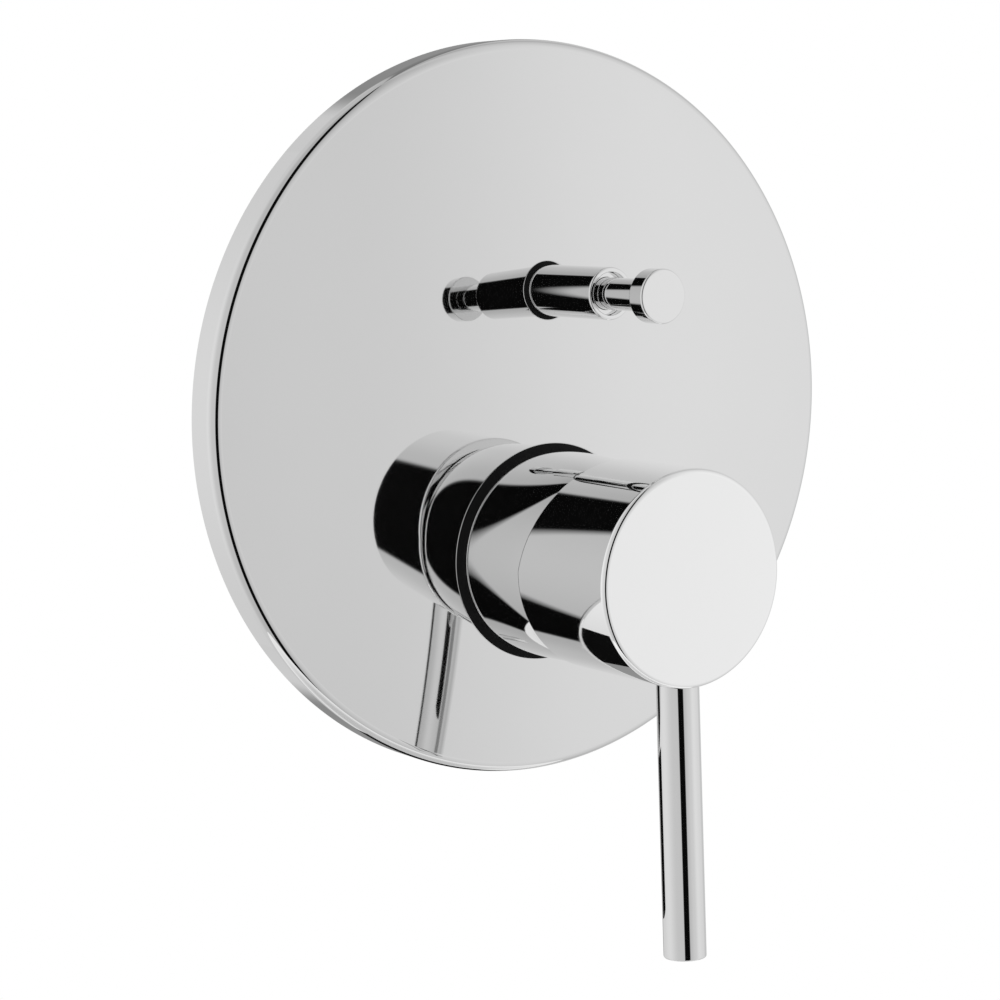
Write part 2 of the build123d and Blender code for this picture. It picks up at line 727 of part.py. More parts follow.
# Valve body: brass casting with cartridge chamber, diverter chamber, four ports and fixing lugs
port_centre = -port_plane_depth
left_port = Plane(origin=(-port_reach_x, port_centre, mixer_z), x_dir=(0, 0, 1), z_dir=(-1, 0, 0))
right_port = Plane(origin=(port_reach_x, port_centre, mixer_z), x_dir=(0, 0, 1), z_dir=(1, 0, 0))
bath_port = Plane(origin=(0, port_centre, bath_port_z), x_dir=(1, 0, 0), z_dir=(0, 0, -1))
shower_port = Plane(origin=(0, port_centre, shower_port_z), x_dir=(1, 0, 0), z_dir=(0, 0, 1))
with BuildPart() as valve_body:
    with BuildSketch(mixer_front.offset(body_back_depth)):
        Circle(mixer_boss_radius)
    extrude(amount=mixer_boss_front - body_back_depth)
    with BuildSketch(mixer_front.offset(mixer_boss_front)):
        Circle(neck_radius)
    extrude(amount=neck_end_depth - mixer_boss_front)
    with BuildSketch(diverter_front.offset(body_back_depth)):
        Circle(diverter_boss_radius)
    extrude(amount=chamber_mouth_depth - body_back_depth)
    with BuildSketch(left_port):
        Circle(inlet_tube_radius)
    extrude(amount=-2 * port_reach_x)
    with BuildSketch(bath_port):
        Circle(outlet_tube_radius)
    extrude(amount=-(shower_port_z - bath_port_z))
    for port in (left_port, right_port, bath_port, shower_port):
        with BuildSketch(port):
            RegularPolygon(radius=port_hex_radius, side_count=6)
        extrude(amount=-port_hex_length)
    with BuildSketch(Plane.XZ.offset(port_plane_depth)):
        with Locations((0, (mixer_z + shower_way_z) / 2)):
            Rectangle(2 * web_half_width, shower_way_z + 2 * shower_cross_radius - mixer_z)
    extrude(amount=bonnet_inner_depth - port_plane_depth)
    with BuildSketch(Plane.XZ.offset(port_plane_depth)):
        for side in (-1, 1):
            with Locations((side * (lug_inner_x + lug_outer_x) / 2, mixer_z)):
                Rectangle(lug_outer_x - lug_inner_x, 2 * lug_half_height)
        with Locations((0, mixer_z)):
            with GridLocations(lug_spacing_x, lug_spacing_z, 2, 2):
                Circle(lug_hole_radius, mode=Mode.SUBTRACT)
    extrude(amount=lug_thickness)
    with BuildSketch(mixer_front.offset(chamber_floor_depth)):
        Circle(chamber_bore_radius)
    extrude(amount=housing_shoulder_depth - chamber_floor_depth, mode=Mode.SUBTRACT)
    with BuildSketch(mixer_front.offset(housing_shoulder_depth)):
        Circle(nut_thread_radius)
    extrude(amount=nut_thread_length, mode=Mode.SUBTRACT)
    with BuildSketch(mixer_front.offset(chamber_floor_depth)):
        with Locations((-peg_x, 0), (peg_x, 0)):
            Circle(peg_radius + chamber_clearance)
    extrude(amount=-peg_length - chamber_clearance, mode=Mode.SUBTRACT)
    for depth in o_ring_depths:
        with BuildSketch(mixer_section):
            with Locations((neck_radius, depth)):
                Rectangle(2 * (neck_radius - o_ring_centre_radius + o_ring_section), o_ring_groove_width)
        revolve(axis=mixer_axis, mode=Mode.SUBTRACT)
    for port in (left_port, right_port, bath_port, shower_port):
        with BuildSketch(port):
            Circle(port_radius)
        extrude(amount=-port_length, mode=Mode.SUBTRACT)
    for side in (-1, 1):
        inlet_way = Plane(origin=(side * inlet_way_end_x, -inlet_way_depth, mixer_z), z_dir=(side, 0, 0))
        with BuildSketch(inlet_way):
            Circle(inlet_way_radius)
        extrude(amount=port_reach_x - port_length - inlet_way_end_x + way_overlap, mode=Mode.SUBTRACT)
        with BuildSketch(mixer_front.offset(chamber_floor_depth)):
            with Locations((side * inlet_hole_x, inlet_hole_z)):
                Circle(inlet_hole_radius)
        extrude(amount=inlet_way_depth - chamber_floor_depth, mode=Mode.SUBTRACT)
    with BuildSketch(mixer_front.offset(chamber_floor_depth)):
        with Locations((0, outlet_hole_z)):
            Circle(outlet_hole_radius)
    extrude(amount=mixed_way_depth - chamber_floor_depth, mode=Mode.SUBTRACT)
    with BuildSketch(Plane(origin=(0, -mixed_way_depth, mixer_z + outlet_hole_z), z_dir=(0, 0, 1))):
        Circle(mixed_way_radius)
    extrude(
        amount=diverter_z - mixer_z - outlet_hole_z - (chamber_radius + seat_radius) / 2, mode=Mode.SUBTRACT
    )
    with BuildSketch(diverter_section):
        with BuildLine():
            Polyline(
                (0, rear_chamber_end),
                (chamber_radius, rear_chamber_end),
                (chamber_radius, rear_seat_back),
                (seat_radius, rear_seat_back),
                (seat_radius, middle_chamber_back),
                (chamber_radius, middle_chamber_back),
                (chamber_radius, middle_chamber_front),
                (seat_radius, middle_chamber_front),
                (seat_radius, front_seat_depth),
                (chamber_radius, front_seat_depth),
                (chamber_radius, bonnet_inner_depth),
                (bonnet_thread_radius, bonnet_inner_depth),
                (bonnet_thread_radius, ring_pocket_depth),
                (ring_pocket_radius, ring_pocket_depth),
                (ring_pocket_radius, chamber_mouth_depth),
                (0, chamber_mouth_depth),
                close=True,
            )
        make_face()
    revolve(axis=diverter_axis, mode=Mode.SUBTRACT)
    with BuildSketch(Plane(origin=(0, -bath_way_depth, diverter_z), z_dir=(0, 0, -1))):
        Circle(bath_way_radius)
    extrude(amount=diverter_z - bath_port_z - port_length + way_overlap, mode=Mode.SUBTRACT)
    with BuildSketch(
        Plane(origin=(0, -(front_seat_depth + bonnet_inner_depth) / 2, diverter_z), z_dir=(0, 0, 1))
    ):
        Circle(shower_rise_radius)
    extrude(amount=shower_way_z - diverter_z, mode=Mode.SUBTRACT)
    with BuildSketch(Plane.XZ.offset(port_plane_depth)):
        with Locations((0, shower_way_z)):
            Circle(shower_cross_radius)
    extrude(
        amount=(front_seat_depth + bonnet_inner_depth) / 2 + way_overlap - port_plane_depth,
        mode=Mode.SUBTRACT,
    )
    with BuildSketch(Plane(origin=(0, port_centre, shower_way_z), z_dir=(0, 0, 1))):
        Circle(shower_top_radius)
    extrude(amount=shower_port_z - port_length - shower_way_z + way_overlap, mode=Mode.SUBTRACT)
valve_body.part.label = "valve_body"
export_step(valve_body.part, "parts/valve_body.step")

# Diverter bonnet: screws into the chamber, holds the spring and the stem's gland
with BuildPart() as diverter_bonnet:
    with BuildSketch(diverter_front.offset(bonnet_inner_depth)):
        Circle(bonnet_thread_radius)
    extrude(amount=chamber_mouth_depth - bonnet_inner_depth)
    with BuildSketch(diverter_front.offset(chamber_mouth_depth)):
        RegularPolygon(radius=bonnet_hex_radius, side_count=6)
    extrude(amount=bonnet_hex_height)
    with BuildSketch(diverter_front.offset(bonnet_hex_front)):
        Circle(bonnet_nose_radius)
    extrude(amount=bonnet_nose_end - bonnet_hex_front)
    with BuildSketch(diverter_section):
        with BuildLine():
            Polyline(
                (0, bonnet_inner_depth),
                (spring_pocket_radius, bonnet_inner_depth),
                (spring_pocket_radius, spring_pocket_end),
                (gland_radius, spring_pocket_end),
                (gland_radius, gland_ring_depth - gland_groove_width / 2),
                (gland_radius + 2 * gland_ring_section, gland_ring_depth - gland_groove_width / 2),
                (gland_radius + 2 * gland_ring_section, gland_ring_depth + gland_groove_width / 2),
                (gland_radius, gland_ring_depth + gland_groove_width / 2),
                (gland_radius, bonnet_nose_end),
                (0, bonnet_nose_end),
                close=True,
            )
        make_face()
    revolve(axis=diverter_axis, mode=Mode.SUBTRACT)
diverter_bonnet.part.label = "diverter_bonnet"
export_step(diverter_bonnet.part, "parts/diverter_bonnet.step")

# O-ring under the bonnet's hexagon
with BuildPart() as bonnet_o_ring:
    with BuildSketch(diverter_section):
        with Locations((ring_pocket_radius - bonnet_ring_section, ring_pocket_depth + bonnet_ring_section)):
            RegularPolygon(bonnet_ring_section, ring_flats, major_radius=False, rotation=180 / ring_flats)
    revolve(axis=diverter_axis)
bonnet_o_ring.part.label = "bonnet_o_ring"
export_step(bonnet_o_ring.part, "parts/bonnet_o_ring.step")

# O-ring in the gland, round the stem
with BuildPart() as gland_o_ring:
    with BuildSketch(diverter_section):
        with Locations((gland_radius + gland_ring_section, gland_ring_depth)):
            RegularPolygon(gland_ring_section, ring_flats, major_radius=False, rotation=180 / ring_flats)
    revolve(axis=diverter_axis)
gland_o_ring.part.label = "gland_o_ring"
export_step(gland_o_ring.part, "parts/gland_o_ring.step")

# Diverter barrel: screws on the bonnet's nose, with a guide bore and a rounded front lip
lip_arc = barrel_lip_rounding * sqrt(0.5)
lip_centre = (barrel_radius - barrel_lip_rounding, barrel_front_depth - barrel_lip_rounding)
recess_floor = barrel_front_depth - barrel_recess_depth
with BuildPart() as diverter_barrel:
    with BuildSketch(diverter_section):
        with BuildLine():
            Line((barrel_radius, bonnet_hex_front), (barrel_radius, lip_centre[1]))
            ThreePointArc(
                (barrel_radius, lip_centre[1]),
                (lip_centre[0] + lip_arc, lip_centre[1] + lip_arc),
                (lip_centre[0], barrel_front_depth),
            )
            Polyline(
                (lip_centre[0], barrel_front_depth),
                (barrel_recess_radius, barrel_front_depth),
                (barrel_recess_radius, recess_floor),
                (guide_radius, recess_floor),
                (guide_radius, recess_floor - barrel_guide_length),
                (barrel_bore_radius, recess_floor - barrel_guide_length),
                (barrel_bore_radius, bonnet_nose_end),
                (bonnet_nose_radius, bonnet_nose_end),
                (bonnet_nose_radius, bonnet_hex_front),
                (barrel_radius, bonnet_hex_front),
            )
        make_face()
    revolve(axis=diverter_axis)
diverter_barrel.part.label = "diverter_barrel"
export_step(diverter_barrel.part, "parts/diverter_barrel.step")

# Diverter stem, stepped, with a spigot at each end
with BuildPart() as diverter_stem:
    with BuildSketch(diverter_section):
        with BuildLine():
            Polyline(
                (0, front_seat_depth - stem_spigot_length),
                (stem_spigot_radius, front_seat_depth - stem_spigot_length),
                (stem_spigot_radius, front_seat_depth),
                (rear_stem_radius, front_seat_depth),
                (rear_stem_radius, stem_step_depth),
                (front_stem_radius, stem_step_depth),
                (front_stem_radius, knob_back_depth),
                (stem_spigot_radius, knob_back_depth),
                (stem_spigot_radius, knob_back_depth + knob_socket_depth),
                (0, knob_back_depth + knob_socket_depth),
                close=True,
            )
        make_face()
    revolve(axis=diverter_axis)
diverter_stem.part.label = "diverter_stem"
export_step(diverter_stem.part, "parts/diverter_stem.step")

# Diverter knob: a small disc screwed on the stem
knob_arc = knob_edge_rounding * sqrt(0.5)
knob_corner = (knob_radius - knob_edge_rounding, knob_front_depth - knob_edge_rounding)
with BuildPart() as diverter_knob:
    with BuildSketch(diverter_section):
        with BuildLine():
            Polyline(
                (stem_spigot_radius, knob_back_depth),
                (knob_radius, knob_back_depth),
                (knob_radius, knob_corner[1]),
            )
            ThreePointArc(
                (knob_radius, knob_corner[1]),
                (knob_corner[0] + knob_arc, knob_corner[1] + knob_arc),
                (knob_corner[0], knob_front_depth),
            )
            Polyline(
                (knob_corner[0], knob_front_depth),
                (0, knob_front_depth),
                (0, knob_back_depth + knob_socket_depth),
                (stem_spigot_radius, knob_back_depth + knob_socket_depth),
                (stem_spigot_radius, knob_back_depth),
            )
        make_face()
    revolve(axis=diverter_axis)
diverter_knob.part.label = "diverter_knob"
export_step(diverter_knob.part, "parts/diverter_knob.step")

# Diverter piston: two grooved lands on a thin rod
groove_floor = ring_land_radius - 2 * piston_ring_section
front_ring_depth = front_seat_depth - seat_length / 2
rear_ring_depth = rear_land_front - seat_length / 2
half_groove = piston_groove_width / 2
with BuildPart() as diverter_piston:
    with BuildSketch(diverter_section):
        with BuildLine():
            Polyline(
                (0, rear_land_back),
                (land_radius, rear_land_back),
                (land_radius, rear_ring_depth - half_groove),
                (groove_floor, rear_ring_depth - half_groove),
                (groove_floor, rear_ring_depth + half_groove),
                (land_radius, rear_ring_depth + half_groove),
                (land_radius, rear_land_front),
                (piston_rod_radius, rear_land_front),
                (piston_rod_radius, middle_chamber_front),
                (land_radius, middle_chamber_front),
                (land_radius, front_ring_depth - half_groove),
                (groove_floor, front_ring_depth - half_groove),
                (groove_floor, front_ring_depth + half_groove),
                (land_radius, front_ring_depth + half_groove),
                (land_radius, front_seat_depth),
                (stem_spigot_radius, front_seat_depth),
                (stem_spigot_radius, front_seat_depth - stem_spigot_length),
                (0, front_seat_depth - stem_spigot_length),
                close=True,
            )
        make_face()
    revolve(axis=diverter_axis)
diverter_piston.part.label = "diverter_piston"
export_step(diverter_piston.part, "parts/diverter_piston.step")

# O-rings on the piston's lands
with BuildPart() as piston_seals:
    for depth in (front_ring_depth, rear_ring_depth):
        with BuildSketch(diverter_section):
            with Locations((ring_land_radius - piston_ring_section, depth)):
                RegularPolygon(piston_ring_section, ring_flats, major_radius=False, rotation=180 / ring_flats)
        revolve(axis=diverter_axis)
piston_seals.part.label = "piston_seals"
export_step(piston_seals.part, "parts/piston_seals.step")

# Return spring between the piston's front land and the bonnet's pocket
spring_start = front_seat_depth + spring_wire_radius
spring_length = spring_pocket_end - front_seat_depth - 2 * spring_wire_radius
spring_pitch = spring_length / spring_turns
with BuildPart() as diverter_spring:
    with BuildLine() as spring_path:
        Helix(
            pitch=spring_pitch,
            height=spring_length,
            radius=spring_coil_radius,
            center=(0, -spring_start, diverter_z),
            direction=(0, -1, 0),
        )
    with BuildSketch(Plane(origin=spring_path.line @ 0, z_dir=spring_path.line % 0)):
        RegularPolygon(spring_wire_radius, ring_flats)
    sweep(path=spring_path.line)
diverter_spring.part.label = "diverter_spring"
export_step(diverter_spring.part, "parts/diverter_spring.step")
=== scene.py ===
from math import acos, atan2, cos, degrees, pi, radians, sin, sqrt, tan

import bpy
import numpy as np
from mathutils import Euler, Matrix, Vector
from mathutils.geometry import delaunay_2d_cdt


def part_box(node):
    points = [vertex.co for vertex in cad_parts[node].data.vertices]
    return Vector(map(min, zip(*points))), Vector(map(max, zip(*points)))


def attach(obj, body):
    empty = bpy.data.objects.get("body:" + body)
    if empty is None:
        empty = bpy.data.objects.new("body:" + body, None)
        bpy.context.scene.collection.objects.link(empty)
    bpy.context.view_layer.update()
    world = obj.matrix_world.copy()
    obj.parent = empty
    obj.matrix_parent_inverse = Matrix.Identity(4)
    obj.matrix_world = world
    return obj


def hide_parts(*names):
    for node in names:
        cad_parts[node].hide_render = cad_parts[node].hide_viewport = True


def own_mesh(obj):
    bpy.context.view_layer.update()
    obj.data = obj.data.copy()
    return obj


bl_info = {
    "name": "Concealed bath mixer",
    "version": (1, 0, 0),
    "blender": (4, 5, 0),
    "location": "View3D > Sidebar > Bath mixer",
    "description": "Dresses the wall-mounted bath mixer in chrome, brass, rubber and ceramic",
    "category": "Object",
}

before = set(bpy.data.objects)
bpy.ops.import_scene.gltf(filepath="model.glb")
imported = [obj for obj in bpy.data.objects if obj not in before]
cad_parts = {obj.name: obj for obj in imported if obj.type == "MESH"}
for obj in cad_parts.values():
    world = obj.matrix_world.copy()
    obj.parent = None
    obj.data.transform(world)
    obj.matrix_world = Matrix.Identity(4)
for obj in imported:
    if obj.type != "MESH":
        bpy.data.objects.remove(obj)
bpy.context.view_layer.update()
plate_low, plate_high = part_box("cover_plate")
sleeve_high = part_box("sleeve")[1]
handle_low, handle_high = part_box("handle")
barrel_low, barrel_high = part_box("diverter_barrel")
stem_low, stem_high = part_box("diverter_stem")
knob_low, knob_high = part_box("diverter_knob")
spring_low, spring_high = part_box("diverter_spring")

MM = 0.001
RIM_HEIGHT = 9.2 * MM
HANDLE_RADIUS = 24 * MM
# Points nearer than this become one
WELD = 1e-6
# The plate's skin: triangles inside its rings only, and how near two of its points may be
INSIDE = 1
NEAR = 1e-9
# Steps round the turned pieces and the spring
RIM_STEPS = 384
HANDLE_STEPS = 320
ROD_STEPS = 160
COIL_STEPS = 48
WIRE_STEPS = 12
# Brightness of the studio walls by their bearing in degrees, with a dark gap on the camera's side
WALL_STOPS = (
    (-180, 0.78),
    (-125, 0.88),
    (-65, 0.68),
    (-39.5, 0.66),
    (-36.5, 0.003),
    (-10.5, 0.003),
    (-7.5, 0.62),
    (20, 0.74),
    (46, 0.89),
    (80, 0.83),
    (108, 0.64),
    (136, 0.74),
    (143, 0.3),
    (163, 0.3),
    (171, 0.76),
)
# Finishes: relief, level of the darker clouds, least and most roughness, then the relief's scale and depth,
# metal and sheen
LOOKS = {
    "cast_brass": ("grain", 0.72, 0.4, 0.58, 1400.0, 0.12 * MM, 1.0, 0.5),
    "turned_brass": ("turning_marks", 0.88, 0.22, 0.34, 900.0, 0.02 * MM, 1.0, 0.5),
    "drawn_steel": ("turning_marks", 0.85, 0.2, 0.36, 1200.0, 0.01 * MM, 1.0, 0.5),
    "moulded_rubber": ("grain", 0.6, 0.42, 0.6, 2200.0, 0.02 * MM, 0.0, 0.1),
    "foam_rubber": ("foam_cells", 0.55, 0.8, 0.95, 1100.0, 0.3 * MM, 0.0, 0.5),
    "moulded_plastic": ("grain", 0.93, 0.36, 0.5, 1800.0, 0.02 * MM, 0.0, 0.5),
    "white_ceramic": ("grain", 0.96, 0.1, 0.2, 3000.0, 0.004 * MM, 0.0, 0.5),
    "black_card": ("grain", 0.7, 0.85, 0.95, 900.0, 0.02 * MM, 0.0, 0.05),
}


# Settings for the sidebar
def number(name, description, default, **limits):
    """A number."""
    return bpy.props.FloatProperty(name=name, description=description, default=default, **limits)


def triple(name, description, default, **limits):
    """Three numbers."""
    return bpy.props.FloatVectorProperty(
        name=name, description=description, default=default, size=3, **limits
    )


def length(name, description, default):
    """A size in metres."""
    return number(name, description, default, precision=5, unit="LENGTH")


def turn(name, description, default):
    """An angle, given in degrees."""
    return number(name, description, radians(default), unit="ROTATION")


def tint(name, description, default):
    """A colour."""
    return triple(name, description, default, min=0.0, max=1.0, subtype="COLOR")


def share(name, description, default):
    """A plain factor."""
    return number(name, description, default, min=0.0, soft_max=1.0)


def power(name, description, default):
    """The power of a lamp."""
    return number(name, description, default, unit="POWER")


def settings_of(kind, name):
    """A group of settings."""
    return bpy.props.PointerProperty(type=kind, name=name)


class CoverPlateSizes(bpy.types.PropertyGroup):
    radius: length("Radius", "Outer radius of the plate", plate_high.x)
    rim_height: length("Rim height", "Height of the rim over the wall", RIM_HEIGHT)
    edge_rounding: length("Edge rounding", "Rounding between rim and face", 2.5 * MM)
    crown: length("Crown", "Rise of the face from the rim to the centre", -plate_low.y - RIM_HEIGHT)
    thickness: length("Sheet", "Thickness of the pressed sheet", 1.5 * MM)
    back_rounding: length("Back rounding", "Rounding of the rim's back edge", 0.2 * MM)
    hole_rounding: length("Hole rounding", "Rounding of the hole edges", 0.4 * MM)


class SleeveSizes(bpy.types.PropertyGroup):
    axis_height: length("Axis height", "Height of the mixing axis", handle_low.z + HANDLE_RADIUS)
    radius: length("Radius", "Outer radius of the sleeve", sleeve_high.x)
    wall: length("Wall", "Wall of the sleeve", 2.1 * MM)
    back: length("Back", "Depth of the sleeve's back end", -sleeve_high.y)
    pivot: length("Pivot", "Depth of the tilt pivot", 32.0 * MM)
    ball: length("Ball", "Radius of the ball-shaped end", 23.3 * MM)
    dome: turn("Dome", "Angle of the ball-shaped end", 38.0)
    blend_start: length("Blend start", "Depth where the side begins to curve in", 17.0 * MM)
    blend_middle: length("Blend middle", "Depth up to which the curve follows the side", 24.0 * MM)
    blend_angle: turn("Blend angle", "Angle at which the curve meets the ball", 12.0)
    blend_pull: length("Blend pull", "Length over which the curve follows the ball", 5.0 * MM)
    lip: length("Lip", "Rounding of the sleeve's ends", 0.3 * MM)
    hole_gap: length("Hole gap", "Gap for the rubber ring in the plate", 1.3 * MM)


class HandleSizes(bpy.types.PropertyGroup):
    radius: length("Radius", "Outer radius of the handle", handle_high.x)
    front: length("Front", "Depth of the front face", -handle_low.y)
    front_rounding: length("Front rounding", "Rounding round the front face", 1.2 * MM)
    bore: length("Bore", "Radius of the inside", 20.5 * MM)
    front_wall: length("Front wall", "Thickness behind the front face", 2.6 * MM)
    skirt: length("Skirt", "Depth of the skirt on the axis and below", 35.6 * MM)
    skirt_angle: turn("Skirt angle", "Lean of the skirt edge above the axis", 15.0)
    skirt_rounding: length("Skirt rounding", "Rounding of the skirt edge", 0.5 * MM)
    ball_gap: length("Ball gap", "Gap between skirt and sleeve", 0.3 * MM)
    hub: length("Hub", "Radius of the hub round the stem", 7.5 * MM)
    hub_back: length("Hub back", "Depth of the hub's back end", 46.5 * MM)
    socket: length("Socket", "Half side of the square socket", 3.55 * MM)
    socket_end: length("Socket end", "Depth of the socket's floor", 64.05 * MM)


class LeverSizes(bpy.types.PropertyGroup):
    radius: length("Radius", "Radius of the rod", 4.74 * MM)
    depth: length("Depth", "Depth of the rod on the mixing axis", 61.1 * MM)
    lean: turn("Lean", "Lean of the rod away from the wall", 2.6)
    seat: length("Seat", "Distance of the rod's seat from the axis", 22.3 * MM)
    reach: length("Reach", "Distance of the rod's end from the axis", 84.3 * MM)
    end_rounding: length("End rounding", "Rounding of the rod's end", 0.4 * MM)
    spigot: length("Spigot", "Radius of the threaded spigot", 3.0 * MM)
    spigot_length: length("Spigot length", "Length of the threaded spigot", 8.0 * MM)
    spigot_rounding: length("Spigot rounding", "Rounding of the spigot's end", 0.3 * MM)
    seat_rounding: length("Seat rounding", "Rounding of the seat's edge", 0.1 * MM)
    boss: length("Boss", "Radius of the boss inside the handle", 5.5 * MM)
    boss_start: length("Boss start", "Distance of the boss's inner end from the axis", 6.5 * MM)
    boss_end: length("Boss end", "Distance of the boss's outer end from the axis", 21.0 * MM)


class DiverterSizes(bpy.types.PropertyGroup):
    axis_height: length("Axis height", "Height of the diverter", (knob_low.z + knob_high.z) / 2)
    barrel_radius: length("Barrel radius", "Outer radius of the barrel", barrel_high.x)
    barrel_back: length("Barrel back", "Depth of the barrel's back end", -barrel_high.y)
    barrel_front: length("Barrel front", "Depth of the barrel's front end", -barrel_low.y)
    barrel_lip: length("Lip rounding", "Rounding of the barrel's lip", 0.5 * MM)
    recess_radius: length("Recess radius", "Radius of the recess in the barrel's end", 4.8 * MM)
    recess_depth: length("Recess depth", "Depth of the recess in the barrel's end", 1.8 * MM)
    guide_radius: length("Guide radius", "Radius of the guide bore", 3.65 * MM)
    guide_length: length("Guide length", "Length of the guide bore", 2.0 * MM)
    bore: length("Bore", "Radius of the barrel's inside", 4.4 * MM)
    nose_radius: length("Nose radius", "Radius of the screwed end", 5.2 * MM)
    nose_end: length("Nose end", "Depth of the screwed end", 16.0 * MM)
    hole_gap: length("Hole gap", "Gap for the rubber ring in the plate", 0.7 * MM)
    stem_radius: length("Stem radius", "Radius of the stem in front", stem_high.x)
    stem_rear_radius: length("Rear stem radius", "Radius of the stem behind the step", 3.0 * MM)
    stem_step: length("Stem step", "Depth of the stem's step", 20.0 * MM)
    stem_back: length("Stem back", "Depth of the stem's shoulder", -14.0 * MM)
    stem_spigot: length("Stem spigot", "Radius of the stem's ends", 2.0 * MM)
    spigot_back: length("Spigot back", "Depth of the stem's back end", -stem_high.y)
    spigot_front: length("Spigot front", "Depth of the stem's front end", -stem_low.y)
    edge: length("Edge", "Rounding of the small edges", 0.2 * MM)
    fine_edge: length("Fine edge", "Rounding of the finest edges", 0.1 * MM)
    knob_radius: length("Knob radius", "Radius of the knob", knob_high.x)
    knob_back: length("Knob back", "Depth of the knob's back", -knob_high.y)
    knob_front: length("Knob front", "Depth of the knob's face", -knob_low.y)
    knob_rounding: length("Knob rounding", "Rounding of the knob's edges", 0.5 * MM)


class SpringSizes(bpy.types.PropertyGroup):
    wire: length("Wire", "Radius of the spring's wire", 0.38 * MM)
    coil: length("Coil", "Radius of the coil's centre line", 4.3 * MM)
    turns: bpy.props.IntProperty(name="Turns", description="Number of turns", default=5, min=1)
    front: length("Front", "Depth of the spring's front end", -spring_low.y)
    back: length("Back", "Depth of the spring's back end", -spring_high.y)
    travel: length("Travel", "Travel of the knob, by which the spring shortens", 9.0 * MM)


class PortSizes(bpy.types.PropertyGroup):
    reach: length("Reach", "Distance of the inlets' mouths from the mixing axis", 50.0 * MM)
    behind: length("Behind", "Distance of the ports behind the finished wall", 34.0 * MM)
    shower: length("Shower outlet", "Height of the shower outlet's mouth", 68.0 * MM)
    bath: length("Bath outlet", "Height of the bath outlet's mouth", -80.0 * MM)
    root: length("Root", "Radius of the thread's root", 9.28 * MM)
    height: length("Thread height", "Height of the thread's ridges", 0.55 * MM)
    pitch: length("Pitch", "Distance between the thread's ridges", 1.814 * MM)
    lead: length("Lead", "Plain run at the mouth", 0.9 * MM)
    run: length("Run", "Length of the thread", 13.6 * MM)


class Finishes(bpy.types.PropertyGroup):
    # The chrome's own colour, set to a different level on each piece: darker on the plate and the lever,
    # brightest on the handle. The differences between pieces are painted shade and painted light for how
    # bright each piece's reflections are.
    plate_chrome: tint("Plate chrome", "Colour of the chrome on the cover plate", (0.8, 0.8, 0.8))
    sleeve_chrome: tint("Sleeve chrome", "Colour of the chrome on the sleeve", (0.9, 0.9, 0.9))
    handle_chrome: tint("Handle chrome", "Colour of the chrome on the handle", (0.96, 0.96, 0.96))
    lever_chrome: tint("Lever chrome", "Colour of the chrome on the lever", (0.8, 0.8, 0.8))
    diverter_chrome: tint("Diverter chrome", "Colour of the chrome on the diverter", (0.86, 0.86, 0.86))
    chrome_roughness: share("Chrome roughness", "Blur of the chrome", 0.03)
    brass: tint("Brass", "Colour of the cast brass", (0.62, 0.44, 0.2))
    rubber: tint("Rubber", "Colour of the seals", (0.008, 0.008, 0.0082))
    foam: tint("Foam", "Colour of the gasket", (0.2, 0.2, 0.205))
    plastic: tint("Plastic", "Colour of the cartridge", (0.72, 0.72, 0.69))
    ceramic: tint("Ceramic", "Colour of the discs", (0.86, 0.84, 0.8))
    steel: tint("Steel", "Colour of pins, screw and spring", (0.56, 0.56, 0.57))


class StudioSettings(bpy.types.PropertyGroup):
    camera_place: triple(
        "Camera place", "Where the camera stands", (-0.35417, -0.51684, 0.05434), unit="LENGTH"
    )
    camera_turn: triple(
        "Camera turn",
        "Where the camera looks",
        (radians(83.06765), radians(0.4578), radians(-34.15349)),
        subtype="EULER",
    )
    lens: number("Lens", "Focal length", 96.398, unit="CAMERA")
    floor_height: length("Floor", "Height of the floor", -1.1)
    floor_radius: length("Floor radius", "Radius of the round floor", 0.8)
    floor_colour: tint("Floor colour", "Colour of the floor", (0.86, 0.86, 0.86))
    floor_shade: share("Floor shade", "Level of the floor's darker clouds", 0.97)
    fade_start: share("Fade start", "Share of the floor's radius where it starts to run into white", 0.35)
    fade_end: share("Fade end", "Share of the floor's radius where it is white", 0.98)
    key_power: power("Key lamp", "Power of the key lamp", 5.0)
    fill_power: power("Fill lamp", "Power of the fill lamp", 2.5)
    ambient: share("Ambient", "Level of the light from all sides on matt surfaces", 0.62)
    wall_ends: share("Wall ends", "Level of the mirrored walls overhead and underfoot", 0.7)
    card_colour: tint("Card colour", "Colour of the dark card", (0.004, 0.004, 0.004))
    card_left: length("Card left", "Left end of the dark card", -45.0 * MM)
    card_right: length("Card right", "Right end of the dark card", 6.0 * MM)
    card_top: length("Card top", "Top edge of the dark card", -88.0 * MM)
    card_bottom: length("Card bottom", "Bottom edge of the dark card", -130.0 * MM)
    card_depth: length("Card depth", "Distance of the dark card behind the plate's back", 12.0 * MM)


class MixerSettings(bpy.types.PropertyGroup):
    plate: settings_of(CoverPlateSizes, "Cover plate")
    sleeve: settings_of(SleeveSizes, "Sleeve")
    handle: settings_of(HandleSizes, "Handle")
    lever: settings_of(LeverSizes, "Lever")
    diverter: settings_of(DiverterSizes, "Diverter")
    spring: settings_of(SpringSizes, "Spring")
    ports: settings_of(PortSizes, "Ports")
    finishes: settings_of(Finishes, "Finishes")
    studio: settings_of(StudioSettings, "Studio")


# Profiles and meshes
def straight(start, end):
    """A straight run of a turned profile, with the surface on its right."""
    step = (Vector(end) - Vector(start)).normalized()
    return [(*start, step.y, -step.x), (*end, step.y, -step.x)]


def arc(centre, radius, first, last, steps, inward=False):
    """A round run of a turned profile between two angles in degrees."""
    side = -1 if inward else 1
    run = []
    for step in range(steps + 1):
        angle = radians(first + (last - first) * step / steps)
        along, out = cos(angle), sin(angle)
        run.append((centre[0] + radius * along, centre[1] + radius * out, side * along, side * out))
    return run


